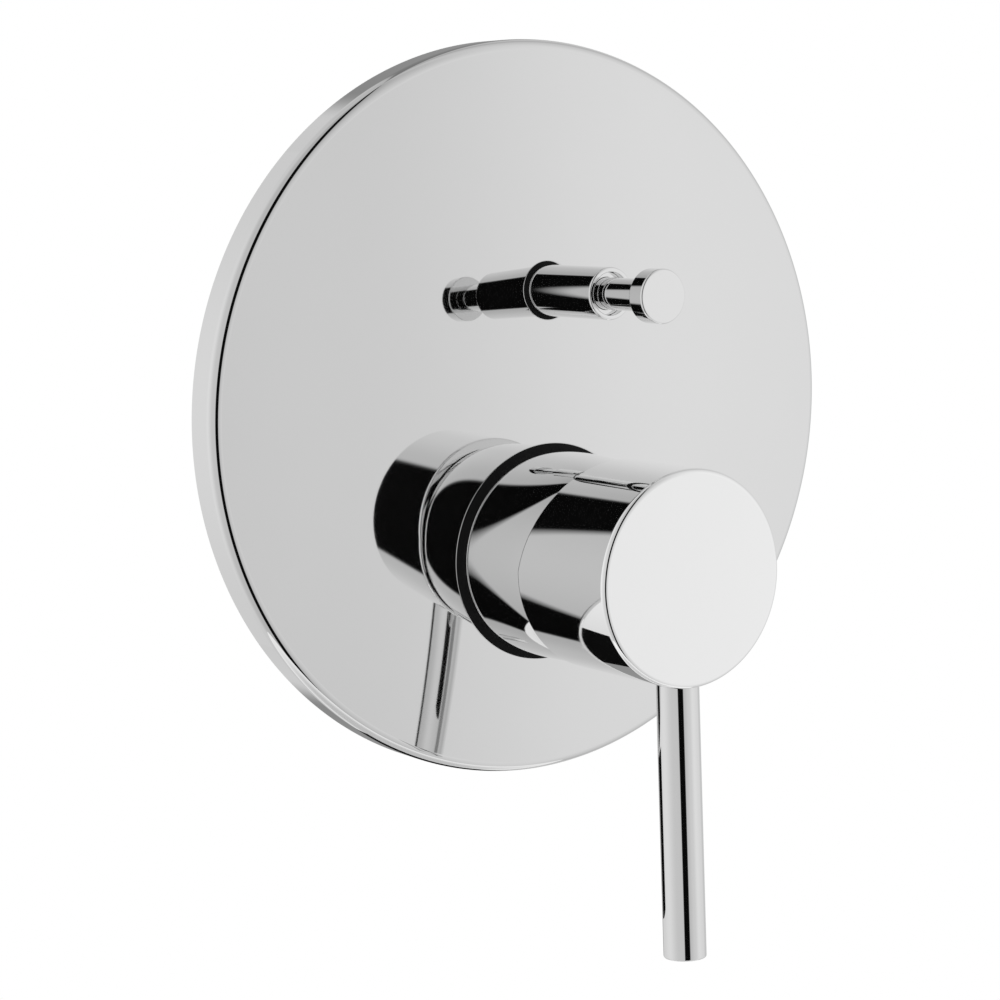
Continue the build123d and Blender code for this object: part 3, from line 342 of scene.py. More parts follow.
def bow(guides, steps):
    """A smooth run of a turned profile along a curve with four guide points."""
    a, b, c, d = guides
    run = []
    for step in range(steps + 1):
        t = step / steps
        spot = a * (1 - t) ** 3 + b * 3 * t * (1 - t) ** 2 + c * 3 * t**2 * (1 - t) + d * t**3
        along = ((b - a) * (1 - t) ** 2 + (c - b) * 2 * t * (1 - t) + (d - c) * t**2).normalized()
        run.append((spot.x, spot.y, along.y, -along.x))
    return run


def outline(corners, closed=True, steps=6):
    """Runs of a turned profile through (radius, depth, rounding) corners."""
    count = len(corners)
    ends = []
    for index, (radius, depth, rounding) in enumerate(corners):
        corner = Vector((radius, depth))
        if rounding == 0:
            ends.append((corner, corner, None, 0))
            continue
        before = (Vector(corners[index - 1][:2]) - corner).normalized()
        after = (Vector(corners[(index + 1) % count][:2]) - corner).normalized()
        half = before.angle(after) / 2
        centre = corner + (before + after).normalized() * rounding / sin(half)
        side = 1 if before.cross(after) < 0 else -1
        reach = rounding / tan(half)
        ends.append((corner + before * reach, corner + after * reach, centre, side))
    runs = []
    for index, (start, end, centre, side) in enumerate(ends):
        if centre is not None:
            first = degrees(atan2(start.y - centre.y, start.x - centre.x))
            sweep = degrees((end - centre).angle_signed(start - centre))
            runs.append(arc(centre, corners[index][2], first, first + sweep, steps, inward=side < 0))
        if closed or index < count - 1:
            following = ends[(index + 1) % count][0]
            runs.append(straight(tuple(end), tuple(following)))
    return runs


def grid_patch(points, normals, wrap=True):
    """Quads over a grid of points whose rows go round the axis."""
    rows, columns = points.shape[:2]
    faces = []
    for row in range(rows if wrap else rows - 1):
        after = (row + 1) % rows
        for column in range(columns - 1):
            here, there = row * columns + column, after * columns + column
            faces.append((here, there, there + 1, here + 1))
    return points.reshape(-1, 3), normals.reshape(-1, 3), faces


def flat_patch(points, normal):
    """One flat face through points."""
    return points, np.broadcast_to(np.array(normal, float), points.shape), [tuple(range(len(points)))]


def placed(patch, place):
    """Moves a patch to its place."""
    points, normals, faces = patch
    spin = np.array(place.to_3x3())
    return points @ spin.T + np.array(place.translation), normals @ spin.T, faces


def around(steps):
    """Angles of even steps round a circle."""
    return np.linspace(0, 2 * pi, steps, endpoint=False)


def spokes_at(angles):
    """Spokes of length one round the local Z axis."""
    return np.stack([np.cos(angles), np.sin(angles), 0 * angles], 1)


def unit(vectors):
    """Vectors of the same directions and length one."""
    return vectors / np.linalg.norm(vectors, axis=1)[:, None]


def turned_patch(run, place, steps):
    """Turns a run of (radius, depth, normal) round the local Z axis of a place."""
    run = np.array(run)
    out = spokes_at(around(steps))[:, None]
    points = out * run[:, :1]
    points[:, :, 2] = run[:, 1]
    normals = out * run[:, 2:3]
    normals[:, :, 2] = run[:, 3]
    return placed(grid_patch(points, normals), place)


def facing_out(height):
    """A place on an axis that leaves the wall at a height: local Z is the depth, local Y is up."""
    return Matrix(((1, 0, 0, 0), (0, 0, -1, 0), (0, 1, 0, height), (0, 0, 0, 1)))


def join_patches(name, patches):
    """Welds patches of points, normals and faces into one object that keeps the exact normals."""
    points = np.concatenate([patch[0] for patch in patches])
    normals = np.concatenate([patch[1] for patch in patches])
    faces = []
    start = 0
    for patch_points, _, patch_faces in patches:
        faces.extend([start + index for index in face] for face in patch_faces)
        start += len(patch_points)
    _, first, welded = np.unique(np.round(points / WELD), axis=0, return_index=True, return_inverse=True)
    welded = welded.ravel()
    polygons = []
    corner_normals = []
    for face in faces:
        corners = [index for place, index in enumerate(face) if welded[index] != welded[face[place - 1]]]
        if len(corners) < 3:
            continue
        a, b, c = points[corners[0]], points[corners[1]], points[corners[2]]
        if np.dot(np.cross(b - a, c - a), normals[corners].sum(0)) < 0:
            corners.reverse()
        polygons.append([int(welded[index]) for index in corners])
        corner_normals.extend(tuple(normals[index]) for index in corners)
    mesh = bpy.data.meshes.new(name)
    mesh.from_pydata(points[first].tolist(), [], polygons)
    mesh.polygons.foreach_set("use_smooth", [True] * len(polygons))
    mesh.normals_split_custom_set(corner_normals)
    piece = bpy.data.objects.new(name, mesh)
    bpy.context.scene.collection.objects.link(piece)
    return piece


def turned(name, runs, place, steps):
    """A turned piece from the runs of its profile."""
    return join_patches(name, [turned_patch(run, place, steps) for run in runs])


def settle(piece, body, slot, material, *nodes):
    """Gives a piece its body, finish and the CAD nodes it stands for."""
    piece.data.materials.append(material)
    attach(piece, body)
    if nodes:
        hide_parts(*nodes)


# Materials
def fill(tree, node, sockets):
    """Fills a node's inputs with values or links."""
    for name, value in sockets.items():
        if isinstance(value, bpy.types.NodeSocket):
            tree.links.new(value, node.inputs[name])
        else:
            node.inputs[name].default_value = value


def add_node(tree, kind, sockets=None, **settings):
    """Adds a shader node with its settings and its inputs."""
    node = tree.nodes.new("ShaderNode" + kind)
    for name, value in settings.items():
        setattr(node, name, value)
    fill(tree, node, sockets or {})
    return node


def reckon(tree, operation, first, second):
    """The result of a Math node with two values."""
    return add_node(tree, "Math", {0: first, 1: second}, operation=operation).outputs["Value"]


def spread(tree, value, low, high, new_low=0.0, new_high=1.0, way="LINEAR"):
    """A value moved from one range to another."""
    sockets = {"Value": value, "From Min": low, "From Max": high, "To Min": new_low, "To Max": new_high}
    return add_node(tree, "MapRange", sockets, interpolation_type=way).outputs["Result"]


def blend(tree, factor, first, second, way="MIX"):
    """A colour blended from two."""
    sockets = {"Factor": factor, "A": first, "B": second}
    return add_node(tree, "Mix", sockets, data_type="RGBA", blend_type=way).outputs["Result"]


def between(tree, factor, first, second):
    """A number between two."""
    return add_node(tree, "Mix", {"Factor": factor, "A": first, "B": second}).outputs["Result"]


def new_group(name, inputs, outputs):
    """An empty shader node group, with the sockets that it starts from and its last node."""
    group = bpy.data.node_groups.new(name, "ShaderNodeTree")
    for way, labels in (("INPUT", inputs), ("OUTPUT", outputs)):
        for label in labels:
            kind = "NodeSocketColor" if label in ("Colour", "Shade") else "NodeSocketFloat"
            group.interface.new_socket(label, in_out=way, socket_type=kind)
    return group, group.nodes.new("NodeGroupInput").outputs, group.nodes.new("NodeGroupOutput")


def new_material(name):
    """A material with its node tree and its own shader."""
    material = bpy.data.materials.new(name)
    material.use_nodes = True
    return material, material.node_tree, material.node_tree.nodes["Principled BSDF"]


def polish_group():
    """Faint clouding of a polished metal: a tint and a roughness that wander a little."""
    group = bpy.data.node_groups.get("polish")
    if group:
        return group
    group, start, end = new_group("polish", ("Colour", "Roughness"), ("Colour", "Roughness"))
    place = add_node(group, "TexCoord").outputs["Object"]
    cloud = add_node(group, "TexNoise", {"Vector": place, "Scale": 60.0, "Detail": 3.0}).outputs["Fac"]
    dim = spread(group, cloud, 0.0, 1.0, new_low=0.985, new_high=1.0)
    blur = spread(group, cloud, 0.0, 1.0, new_low=0.8, new_high=1.3)
    colour = blend(group, 1.0, start["Colour"], dim, "MULTIPLY")
    fill(group, end, {"Colour": colour, "Roughness": reckon(group, "MULTIPLY", start["Roughness"], blur)})
    return group


def chrome(name, finishes):
    """Polished chrome in the colour that the finishes have under the same name."""
    material, tree, shader = new_material(name)
    values = {"Colour": (*getattr(finishes, name), 1), "Roughness": finishes.chrome_roughness}
    polish = add_node(tree, "Group", values, node_tree=polish_group()).outputs
    fill(tree, shader, {"Base Color": polish["Colour"], "Metallic": 1.0, "Roughness": polish["Roughness"]})
    return material


def surface_group(kind):
    """A wandering colour, roughness and relief: moulded grain, turning marks or foam cells."""
    group = bpy.data.node_groups.get(kind)
    if group:
        return group
    inputs = ("Colour", "Shade", "Smooth", "Rough", "Scale")
    group, start, end = new_group(kind, inputs, ("Colour", "Roughness", "Height"))
    place = add_node(group, "TexCoord").outputs["Object"]
    patches = add_node(group, "TexNoise", {"Vector": place, "Scale": 55.0, "Detail": 4.0}).outputs["Fac"]
    relief = {"Vector": place, "Scale": start["Scale"]}
    if kind == "turning_marks":
        relief["Distortion"] = 0.8
        height = add_node(group, "TexWave", relief, bands_direction="Y").outputs["Fac"]
    elif kind == "foam_cells":
        height = add_node(group, "TexVoronoi", relief).outputs["Distance"]
    else:
        relief["Detail"] = 5.0
        height = add_node(group, "TexNoise", relief).outputs["Fac"]
    mixed = between(group, factor=0.35, first=patches, second=height)
    wander = spread(group, mixed, low=0.3, high=0.7)
    colour = blend(group, wander, start["Colour"], start["Shade"])
    roughness = between(group, wander, start["Smooth"], start["Rough"])
    fill(group, end, {"Colour": colour, "Roughness": roughness, "Height": height})
    return group


def finish(name, colour):
    """A material from the table of looks: wandering colour and roughness, relief of a real depth."""
    material = bpy.data.materials.get(name)
    if material:
        return material
    kind, shade, smooth, rough, scale, relief, metallic, sheen = LOOKS[name]
    material, tree, shader = new_material(name)
    dark = (*(part * shade for part in colour), 1)
    values = {"Colour": (*colour, 1), "Shade": dark, "Smooth": smooth, "Rough": rough, "Scale": scale}
    surface = add_node(tree, "Group", values, node_tree=surface_group(kind)).outputs
    bump = add_node(tree, "Bump", {"Height": surface["Height"], "Strength": 0.6, "Distance": relief})
    fill(tree, shader, {"Base Color": surface["Colour"], "Metallic": metallic, "Specular IOR Level": sheen})
    fill(tree, shader, {"Roughness": surface["Roughness"], "Normal": bump.outputs["Normal"]})
    return material


# Pieces
def ring_of(radius, height, count):
    """Points of a circle on the plate, seen from the front."""
    return radius * spokes_at(around(count))[:, :2] + (0, height)


def plate_skin(rings, spacing):
    """Triangles between the outer circle and the hole circles of the plate, as flat points and faces."""
    points = []
    edges = []
    for ring in rings:
        start = len(points)
        points.extend(ring.tolist())
        edges.extend((start + index, start + (index + 1) % len(ring)) for index in range(len(ring)))
    outer = np.linalg.norm(rings[0][0])
    holes = [(ring.mean(0), np.linalg.norm(ring[0] - ring.mean(0))) for ring in rings[1:]]
    rise = spacing * sqrt(0.75)
    rows = int(outer / rise) + 1
    row, column = np.mgrid[-rows : rows + 1, -rows - 2 : rows + 3]
    spots = np.stack([(column + (row % 2) / 2) * spacing, row * rise], 2).reshape(-1, 2)
    clear = np.linalg.norm(spots, axis=1) < outer - spacing / 2
    for centre, radius in holes:
        clear &= np.linalg.norm(spots - centre, axis=1) > radius + spacing / 2
    points.extend(spots[clear].tolist())
    found, _, faces, _, _, _ = delaunay_2d_cdt([Vector(point) for point in points], edges, [], INSIDE, NEAR)
    found = np.array([tuple(point) for point in found])
    for centre, radius in holes:
        faces = [face for face in faces if np.linalg.norm(found[face].mean(0) - centre) > radius]
    return found, [tuple(face) for face in faces]


class CoverPlateOperator(bpy.types.Operator):
    """Presses the round cover plate with its crowned face and two holes"""

    bl_idname = "bath_mixer.cover_plate"
    bl_label = "Cover plate"

    def execute(self, context):
        settings = context.scene.bath_mixer
        plate = settings.plate
        face_radius = plate.radius - plate.edge_rounding
        outer_ball = (face_radius**2 + plate.crown**2) / (2 * plate.crown)
        centre_depth = plate.rim_height + plate.crown - outer_ball
        inner_ball = outer_ball - plate.thickness
        inner_wall = plate.radius - plate.thickness
        sleeve_hole = settings.sleeve.radius + settings.sleeve.hole_gap
        barrel_hole = settings.diverter.barrel_radius + settings.diverter.hole_gap
        # Radius, height and steps round each hole
        holes = (
            (sleeve_hole, settings.sleeve.axis_height, 192),
            (barrel_hole, settings.diverter.axis_height, 96),
        )

        def lift(flat, ball, side):
            depth = centre_depth + np.sqrt(ball**2 - (flat**2).sum(1))
            points = np.stack([flat[:, 0], -depth, flat[:, 1]], 1)
            normals = (points - np.array([0, -centre_depth, 0])) / ball * side
            return points, normals

        patches = []
        # Edge radius, rounding at the holes, spacing, ball and side of the plate's face and of its back
        sheets = (
            (face_radius, plate.hole_rounding, 2.4 * MM, outer_ball, 1),
            (inner_wall, 0, 6.0 * MM, inner_ball, -1),
        )
        for edge, rounding, spacing, ball, side in sheets:
            rings = [ring_of(edge, 0, RIM_STEPS)]
            rings.extend(ring_of(radius + rounding, height, count) for radius, height, count in holes)
            flat, faces = plate_skin(rings, spacing)
            patches.append((*lift(flat, ball, side), faces))
        for radius, height, count in holes:
            rows = []
            row_normals = []
            towards = -spokes_at(around(count))[:, (0, 2, 1)]
            for bend in np.radians(np.linspace(0, 90, 5)):
                ring = ring_of(radius + plate.hole_rounding * (1 - sin(bend)), height, count)
                points, normals = lift(ring, outer_ball, 1)
                points[:, 1] += plate.hole_rounding * (1 - cos(bend))
                rows.append(points)
                row_normals.append(normals * cos(bend) + towards * sin(bend))
            rows.append(lift(ring_of(radius, height, count), inner_ball, 1)[0])
            row_normals.append(towards)
            patches.append(grid_patch(np.stack(rows, 1), np.stack(row_normals, 1)))
        inner_depth = centre_depth + sqrt(inner_ball**2 - inner_wall**2)
        shoulder = plate.rim_height - plate.edge_rounding
        back = plate.back_rounding
        rim = [
            straight((inner_wall, inner_depth), (inner_wall, 0)),
            straight((inner_wall, 0), (plate.radius - back, 0)),
            arc((plate.radius - back, back), back, -90, 0, steps=4),
            straight((plate.radius, back), (plate.radius, shoulder)),
            arc((face_radius, shoulder), plate.edge_rounding, 0, 90, steps=12),
        ]
        patches.extend(turned_patch(run, facing_out(0), RIM_STEPS) for run in rim)
        piece = join_patches("chrome_cover_plate", patches)
        settle(piece, "body", "chrome", chrome("plate_chrome", settings.finishes), "cover_plate")
        return {"FINISHED"}


class SleeveOperator(bpy.types.Operator):
    """Turns the sleeve with its ball-shaped front end"""

    bl_idname = "bath_mixer.sleeve"
    bl_label = "Sleeve"

    def execute(self, context):
        settings = context.scene.bath_mixer
        sleeve = settings.sleeve
        bore = sleeve.radius - sleeve.wall
        dome = degrees(sleeve.dome)
        lip = sleeve.lip
        lip_start = dome - degrees(lip / sleeve.ball)
        tip_inner = arc((0, sleeve.pivot), bore, dome, dome, 1)[0][:2]
        lip_centre = arc((0, sleeve.pivot), sleeve.ball - lip, lip_start, lip_start, 1)[0][:2]
        lip_run = arc(lip_centre, lip, lip_start, lip_start + 90, steps=5)
        bend = sleeve.blend_angle
        meet = Vector((sleeve.ball * cos(bend), sleeve.pivot + sleeve.ball * sin(bend)))
        along = Vector((-sin(bend), cos(bend)))
        guides = (
            Vector((sleeve.radius, sleeve.blend_start)),
            Vector((sleeve.radius, sleeve.blend_middle)),
            meet - along * sleeve.blend_pull,
            meet,
        )
        runs = [
            straight((bore, sleeve.back), (sleeve.radius - lip, sleeve.back)),
            arc((sleeve.radius - lip, sleeve.back + lip), lip, -90, 0, steps=4),
            straight((sleeve.radius, sleeve.back + lip), (sleeve.radius, sleeve.blend_start)),
            bow(guides, steps=40),
            arc((0, sleeve.pivot), sleeve.ball, degrees(bend), lip_start, steps=20),
            lip_run,
            straight(lip_run[-1][:2], tip_inner),
            arc((0, sleeve.pivot), bore, dome, 0, steps=16, inward=True),
            straight((bore, sleeve.pivot), (bore, sleeve.back)),
        ]
        piece = turned("chrome_sleeve", runs, facing_out(sleeve.axis_height), HANDLE_STEPS)
        settle(piece, "body", "chrome", chrome("sleeve_chrome", settings.finishes), "sleeve")
        return {"FINISHED"}


class HandleOperator(bpy.types.Operator):
    """Turns the handle, with its leaning skirt edge, ball-shaped inside and hub"""

    bl_idname = "bath_mixer.handle"
    bl_label = "Handle"

    def execute(self, context):
        settings = context.scene.bath_mixer
        sleeve, handle = settings.sleeve, settings.handle
        place = facing_out(sleeve.axis_height)
        ball = sleeve.ball + handle.ball_gap
        ball_end = acos(handle.bore / ball)
        rise = handle.skirt - sleeve.pivot
        out = spokes_at(around(HANDLE_STEPS))
        lean = tan(handle.skirt_angle)
        slope = lean * np.maximum(out[:, 1], 0)
        behind = unit(np.stack([0 * slope, np.where(slope > 0, lean, 0), 0 * slope - 1], 1))
        square = 1 + slope**2
        inner = (np.sqrt((rise * slope) ** 2 - square * (rise**2 - ball**2)) - rise * slope) / square

        def ring(radius, depth):
            points = out * np.reshape(radius, (-1, 1))
            points[:, 2] = depth
            return points

        rows = [ring(inner, handle.skirt + slope * inner)]
        normals = [behind]
        for bend in np.radians(np.linspace(0, 90, 7)):
            radius = handle.radius - handle.skirt_rounding * (1 - sin(bend))
            depth = handle.skirt + slope * radius + handle.skirt_rounding * (1 - cos(bend))
            rows.append(ring(radius, depth))
            normals.append(unit(out * sin(bend) + behind * cos(bend)))
        for side in np.linspace(0, 1, 9)[1:]:
            rows.append(ring(handle.radius, depth + (handle.front - handle.front_rounding - depth) * side))
            normals.append(out)
        patches = [grid_patch(np.stack(rows, 1), np.stack(normals, 1))]
        first = np.arctan2(rise + slope * inner, inner)
        bends = [first + (ball_end - first) * step for step in np.linspace(0, 1, 9)]
        spokes = np.stack([ring(np.cos(bend), np.sin(bend)) for bend in bends], 1)
        patches.append(grid_patch(spokes * ball + (0, 0, sleeve.pivot), -spokes))
        patches = [placed(patch, place) for patch in patches]
        front_inner = handle.front - handle.front_wall
        rounding = handle.front_rounding
        bore_start = sleeve.pivot + ball * sin(ball_end)
        runs = [
            arc((handle.radius - rounding, handle.front - rounding), rounding, 0, 90, steps=12),
            straight((handle.radius - rounding, handle.front), (0, handle.front)),
            straight((handle.bore, front_inner), (handle.bore, bore_start)),
            straight((handle.hub, front_inner), (handle.bore, front_inner)),
            straight((handle.hub, handle.hub_back), (handle.hub, front_inner)),
        ]
        patches.extend(turned_patch(run, place, HANDLE_STEPS) for run in runs)
        patches.extend(placed(patch, place) for patch in self.socket_patches(handle))
        lever = settings.lever
        boss = straight((lever.boss, lever.boss_start), (lever.boss, lever.boss_end))
        patches.append(turned_patch(boss, lever_place(settings), steps=64))
        piece = join_patches("chrome_handle", patches)
        settle(piece, "handle", "chrome", chrome("handle_chrome", settings.finishes), "handle")
        return {"FINISHED"}

    def socket_patches(self, handle):
        """The square socket for the stem and the ring face round it."""
        patches = []
        floor = []
        for side in range(4):
            rows = []
            wall = []
            for angle in np.linspace(-pi / 4, pi / 4, HANDLE_STEPS // 4 + 1) + side * pi / 2:
                out = np.array([cos(angle), sin(angle), 0])
                edge = out * handle.socket / max(abs(out[0]), abs(out[1]))
                rows.append([out * handle.hub + (0, 0, handle.hub_back), edge + (0, 0, handle.hub_back)])
                wall.append([edge + (0, 0, handle.hub_back), edge + (0, 0, handle.socket_end)])
            towards = (-cos(side * pi / 2), -sin(side * pi / 2), 0)
            for strip, normal in ((rows, (0, 0, -1)), (wall, towards)):
                normals = np.broadcast_to(normal, np.shape(strip))
                patches.append(grid_patch(np.array(strip), normals, wrap=False))
            floor.extend(np.array(wall)[:-1, 1])
        return [*patches, flat_patch(np.array(floor), (0, 0, -1))]


def lever_place(settings):
    """The lever's own axis: local Z runs from the mixing axis down the rod."""
    lean = settings.lever.lean
    along = Vector((0, -sin(lean), -cos(lean)))
    across = Vector((1, 0, 0))
    up = along.cross(across)
    place = Matrix((across, up, along)).transposed().to_4x4()
    place.translation = (0, -settings.lever.depth, settings.sleeve.axis_height)
    return place


class LeverOperator(bpy.types.Operator):
    """Turns the lever rod with its threaded spigot"""

    bl_idname = "bath_mixer.lever"
    bl_label = "Lever"

    def execute(self, context):
        settings = context.scene.bath_mixer
        lever = settings.lever
        corners = (
            (0, lever.seat - lever.spigot_length, 0),
            (lever.spigot, lever.seat - lever.spigot_length, lever.spigot_rounding),
            (lever.spigot, lever.seat, 0),
            (lever.radius, lever.seat, lever.seat_rounding),
            (lever.radius, lever.reach, lever.end_rounding),
            (0, lever.reach, 0),
        )
        piece = turned("chrome_lever", outline(corners, closed=False), lever_place(settings), ROD_STEPS)
        settle(piece, "handle", "chrome", chrome("lever_chrome", settings.finishes), "lever")
        return {"FINISHED"}


class DiverterOperator(bpy.types.Operator):
    """Turns the diverter's barrel, stem and knob"""

    bl_idname = "bath_mixer.diverter"
    bl_label = "Diverter"

    def execute(self, context):
        settings = context.scene.bath_mixer
        sizes = settings.diverter
        place = facing_out(sizes.axis_height)
        material = chrome("diverter_chrome", settings.finishes)
        floor = sizes.barrel_front - sizes.recess_depth
        barrel = (
            (sizes.barrel_radius, sizes.barrel_back, sizes.fine_edge),
            (sizes.barrel_radius, sizes.barrel_front, sizes.barrel_lip),
            (sizes.recess_radius, sizes.barrel_front, sizes.edge),
            (sizes.recess_radius, floor, sizes.edge),
            (sizes.guide_radius, floor, sizes.fine_edge),
            (sizes.guide_radius, floor - sizes.guide_length, 0),
            (sizes.bore, floor - sizes.guide_length, 0),
            (sizes.bore, sizes.nose_end, 0),
            (sizes.nose_radius, sizes.nose_end, 0),
            (sizes.nose_radius, sizes.barrel_back, 0),
        )
        piece = turned("chrome_barrel", outline(barrel), place, ROD_STEPS)
        settle(piece, "body", "chrome", material, "diverter_barrel")
        stem = (
            (0, sizes.spigot_back, 0),
            (sizes.stem_spigot, sizes.spigot_back, sizes.edge),
            (sizes.stem_spigot, sizes.stem_back, 0),
            (sizes.stem_rear_radius, sizes.stem_back, sizes.edge),
            (sizes.stem_rear_radius, sizes.stem_step, 0),
            (sizes.stem_radius, sizes.stem_step, sizes.edge),
            (sizes.stem_radius, sizes.knob_back, sizes.fine_edge / 2),
            (sizes.stem_spigot, sizes.knob_back, 0),
            (sizes.stem_spigot, sizes.spigot_front, sizes.fine_edge),
            (0, sizes.spigot_front, 0),
        )
        piece = turned("chrome_stem", outline(stem, closed=False), place, steps=128)
        settle(piece, "diverter", "chrome", material, "diverter_stem")
        knob = (
            (sizes.stem_spigot, sizes.knob_back, 0),
            (sizes.knob_radius, sizes.knob_back, sizes.knob_rounding / 2),
            (sizes.knob_radius, sizes.knob_front, sizes.knob_rounding),
            (0, sizes.knob_front, 0),
            (0, sizes.spigot_front, 0),
            (sizes.stem_spigot, sizes.spigot_front, 0),
        )
        piece = turned("chrome_knob", outline(knob), place, ROD_STEPS)
        settle(piece, "diverter", "chrome", material, "diverter_knob")
        return {"FINISHED"}


class SpringOperator(bpy.types.Operator):
    """Winds the diverter's return spring at one fixed length, which does not follow the knob"""

    bl_idname = "bath_mixer.spring"
    bl_label = "Return spring"

    def execute(self, context):
        settings = context.scene.bath_mixer
        spring, height = settings.spring, settings.diverter.axis_height
        angles = np.linspace(0, 2 * pi * spring.turns, COIL_STEPS * spring.turns + 1)
        start, end = spring.back + spring.wire, spring.front - spring.wire
        out = spokes_at(angles)
        path = out * spring.coil
        path[:, 2] = np.linspace(start, end, len(angles))
        climb = (end - start) / angles[-1]
        along = unit(np.stack([-np.sin(angles), np.cos(angles), 0 * angles + climb / spring.coil], 1))
        section = around(WIRE_STEPS)[:, None, None]
        normals = out * np.cos(section) + np.cross(along, out) * np.sin(section)
        points = path + normals * spring.wire
        patches = (
            grid_patch(points, normals),
            flat_patch(points[:, 0], -along[0]),
            flat_patch(points[:, -1], along[-1]),
        )
        patches = [placed(patch, facing_out(height)) for patch in patches]
        piece = join_patches("return_spring", patches)
        settle(piece, "diverter", "steel", finish("drawn_steel", settings.finishes.steel), "diverter_spring")
        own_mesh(piece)
        return {"FINISHED"}


class PortThreadsOperator(bpy.types.Operator):
    """Cuts the pipe threads of the two inlets and the two outlets"""

    bl_idname = "bath_mixer.port_threads"
    bl_label = "Port threads"

    def execute(self, context):
        settings = context.scene.bath_mixer
        ports, finishes = settings.ports, settings.finishes
        ends = (
            ("hot_thread", (-1, 0, 0), (-ports.reach, ports.behind, settings.sleeve.axis_height)),
            ("cold_thread", (1, 0, 0), (ports.reach, ports.behind, settings.sleeve.axis_height)),
            ("shower_thread", (0, 0, 1), (0, ports.behind, ports.shower)),
            ("bath_thread", (0, 0, -1), (0, ports.behind, ports.bath)),
        )
        for name, way, mouth in ends:
            place = Vector(way).to_track_quat("Z", "Y").to_matrix().to_4x4()
            place.translation = mouth
            runs = []
            depth = -ports.lead
            while depth - ports.pitch > -ports.run:
                crest = (ports.root - ports.height, depth - ports.pitch / 2)
                runs.append(straight((ports.root, depth), crest))
                runs.append(straight(crest, (ports.root, depth - ports.pitch)))
                depth -= ports.pitch
            piece = turned(name, runs, place, steps=96)
            settle(piece, "body", "brass", finish("turned_brass", finishes.brass))
        return {"FINISHED"}


class InnerPiecesOperator(bpy.types.Operator):
    """Finishes the brass body, the cartridge, the seals, the pin and the screw"""

    bl_idname = "bath_mixer.inner_pieces"
    bl_label = "Inner pieces"

    def execute(self, context):
        finishes = context.scene.bath_mixer.finishes
        seals = ("base_seals", "disc_seals", "piston_seals")
        rings = ("sleeve_o_rings", "bonnet_o_ring", "gland_o_ring", "sleeve_grommet", "barrel_grommet")
        plastic = ("cartridge_base", "cartridge_housing", "stem_carrier", "disc_carrier")
        kept = {
            finish("cast_brass", finishes.brass): ("valve_body",),
            finish("turned_brass", finishes.brass): ("diverter_bonnet", "cartridge_nut", "diverter_piston"),
            finish("moulded_rubber", finishes.rubber): (*seals, *rings),
            finish("foam_rubber", finishes.foam): ("plate_gasket",),
            finish("moulded_plastic", finishes.plastic): plastic,
            finish("white_ceramic", finishes.ceramic): ("fixed_ceramic_disc", "moving_ceramic_disc"),
            finish("drawn_steel", finishes.steel): ("pivot_pin", "cartridge_stem", "handle_set_screw"),
        }
        for material, names in kept.items():
            for name in names:
                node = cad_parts[name]
                node.data.materials.clear()
                node.data.materials.append(material)
        return {"FINISHED"}


# Studio
def studio_world(studio):
    """White for the camera, plain grey for matt surfaces, and pale walls with a dark gap for the chrome."""
    world = bpy.data.worlds.new("studio")
    world.use_nodes = True
    tree = world.node_tree
    tree.nodes.clear()
    place = add_node(tree, "TexCoord").outputs["Generated"]
    parts = add_node(tree, "SeparateXYZ", {"Vector": place}).outputs
    compass = reckon(tree, "ARCTAN2", parts["X"], reckon(tree, "MULTIPLY", parts["Y"], -1.0))
    walls = add_node(tree, "ValToRGB", {"Fac": spread(tree, compass, -pi, pi)})
    walls.color_ramp.interpolation = "EASE"
    stops = walls.color_ramp.elements
    while len(stops) > 1:
        stops.remove(stops[-1])
    for index, (bearing, grey) in enumerate(WALL_STOPS):
        stop = stops[0] if index == 0 else stops.new((bearing + 180) / 360)
        stop.position = (bearing + 180) / 360
        stop.color = (grey, grey, grey, 1)
    fall = spread(tree, reckon(tree, "MULTIPLY", parts["Z"], parts["Z"]), 0.0, 1.0, 1.0, studio.wall_ends)
    room = blend(tree, 1.0, walls.outputs["Color"], fall, "MULTIPLY")
    rays = add_node(tree, "LightPath").outputs
    mirrored = reckon(tree, "MAXIMUM", rays["Is Glossy Ray"], rays["Is Transmission Ray"])
    mirror = blend(tree, mirrored, (studio.ambient, studio.ambient, studio.ambient, 1), room)
    seen = blend(tree, rays["Is Camera Ray"], mirror, (1, 1, 1, 1))
    light = add_node(tree, "Background", {"Color": seen})
    add_node(tree, "OutputWorld", {"Surface": light.outputs["Background"]})
    return world


def studio_lamps(studio):
    """Name, place, power and size of the soft lamps."""
    return (
        ("key_lamp", (-0.7, -0.9, 0.9), studio.key_power, 0.9),
        ("fill_lamp", (0.9, 0.8, 0.5), studio.fill_power, 0.9),
    )


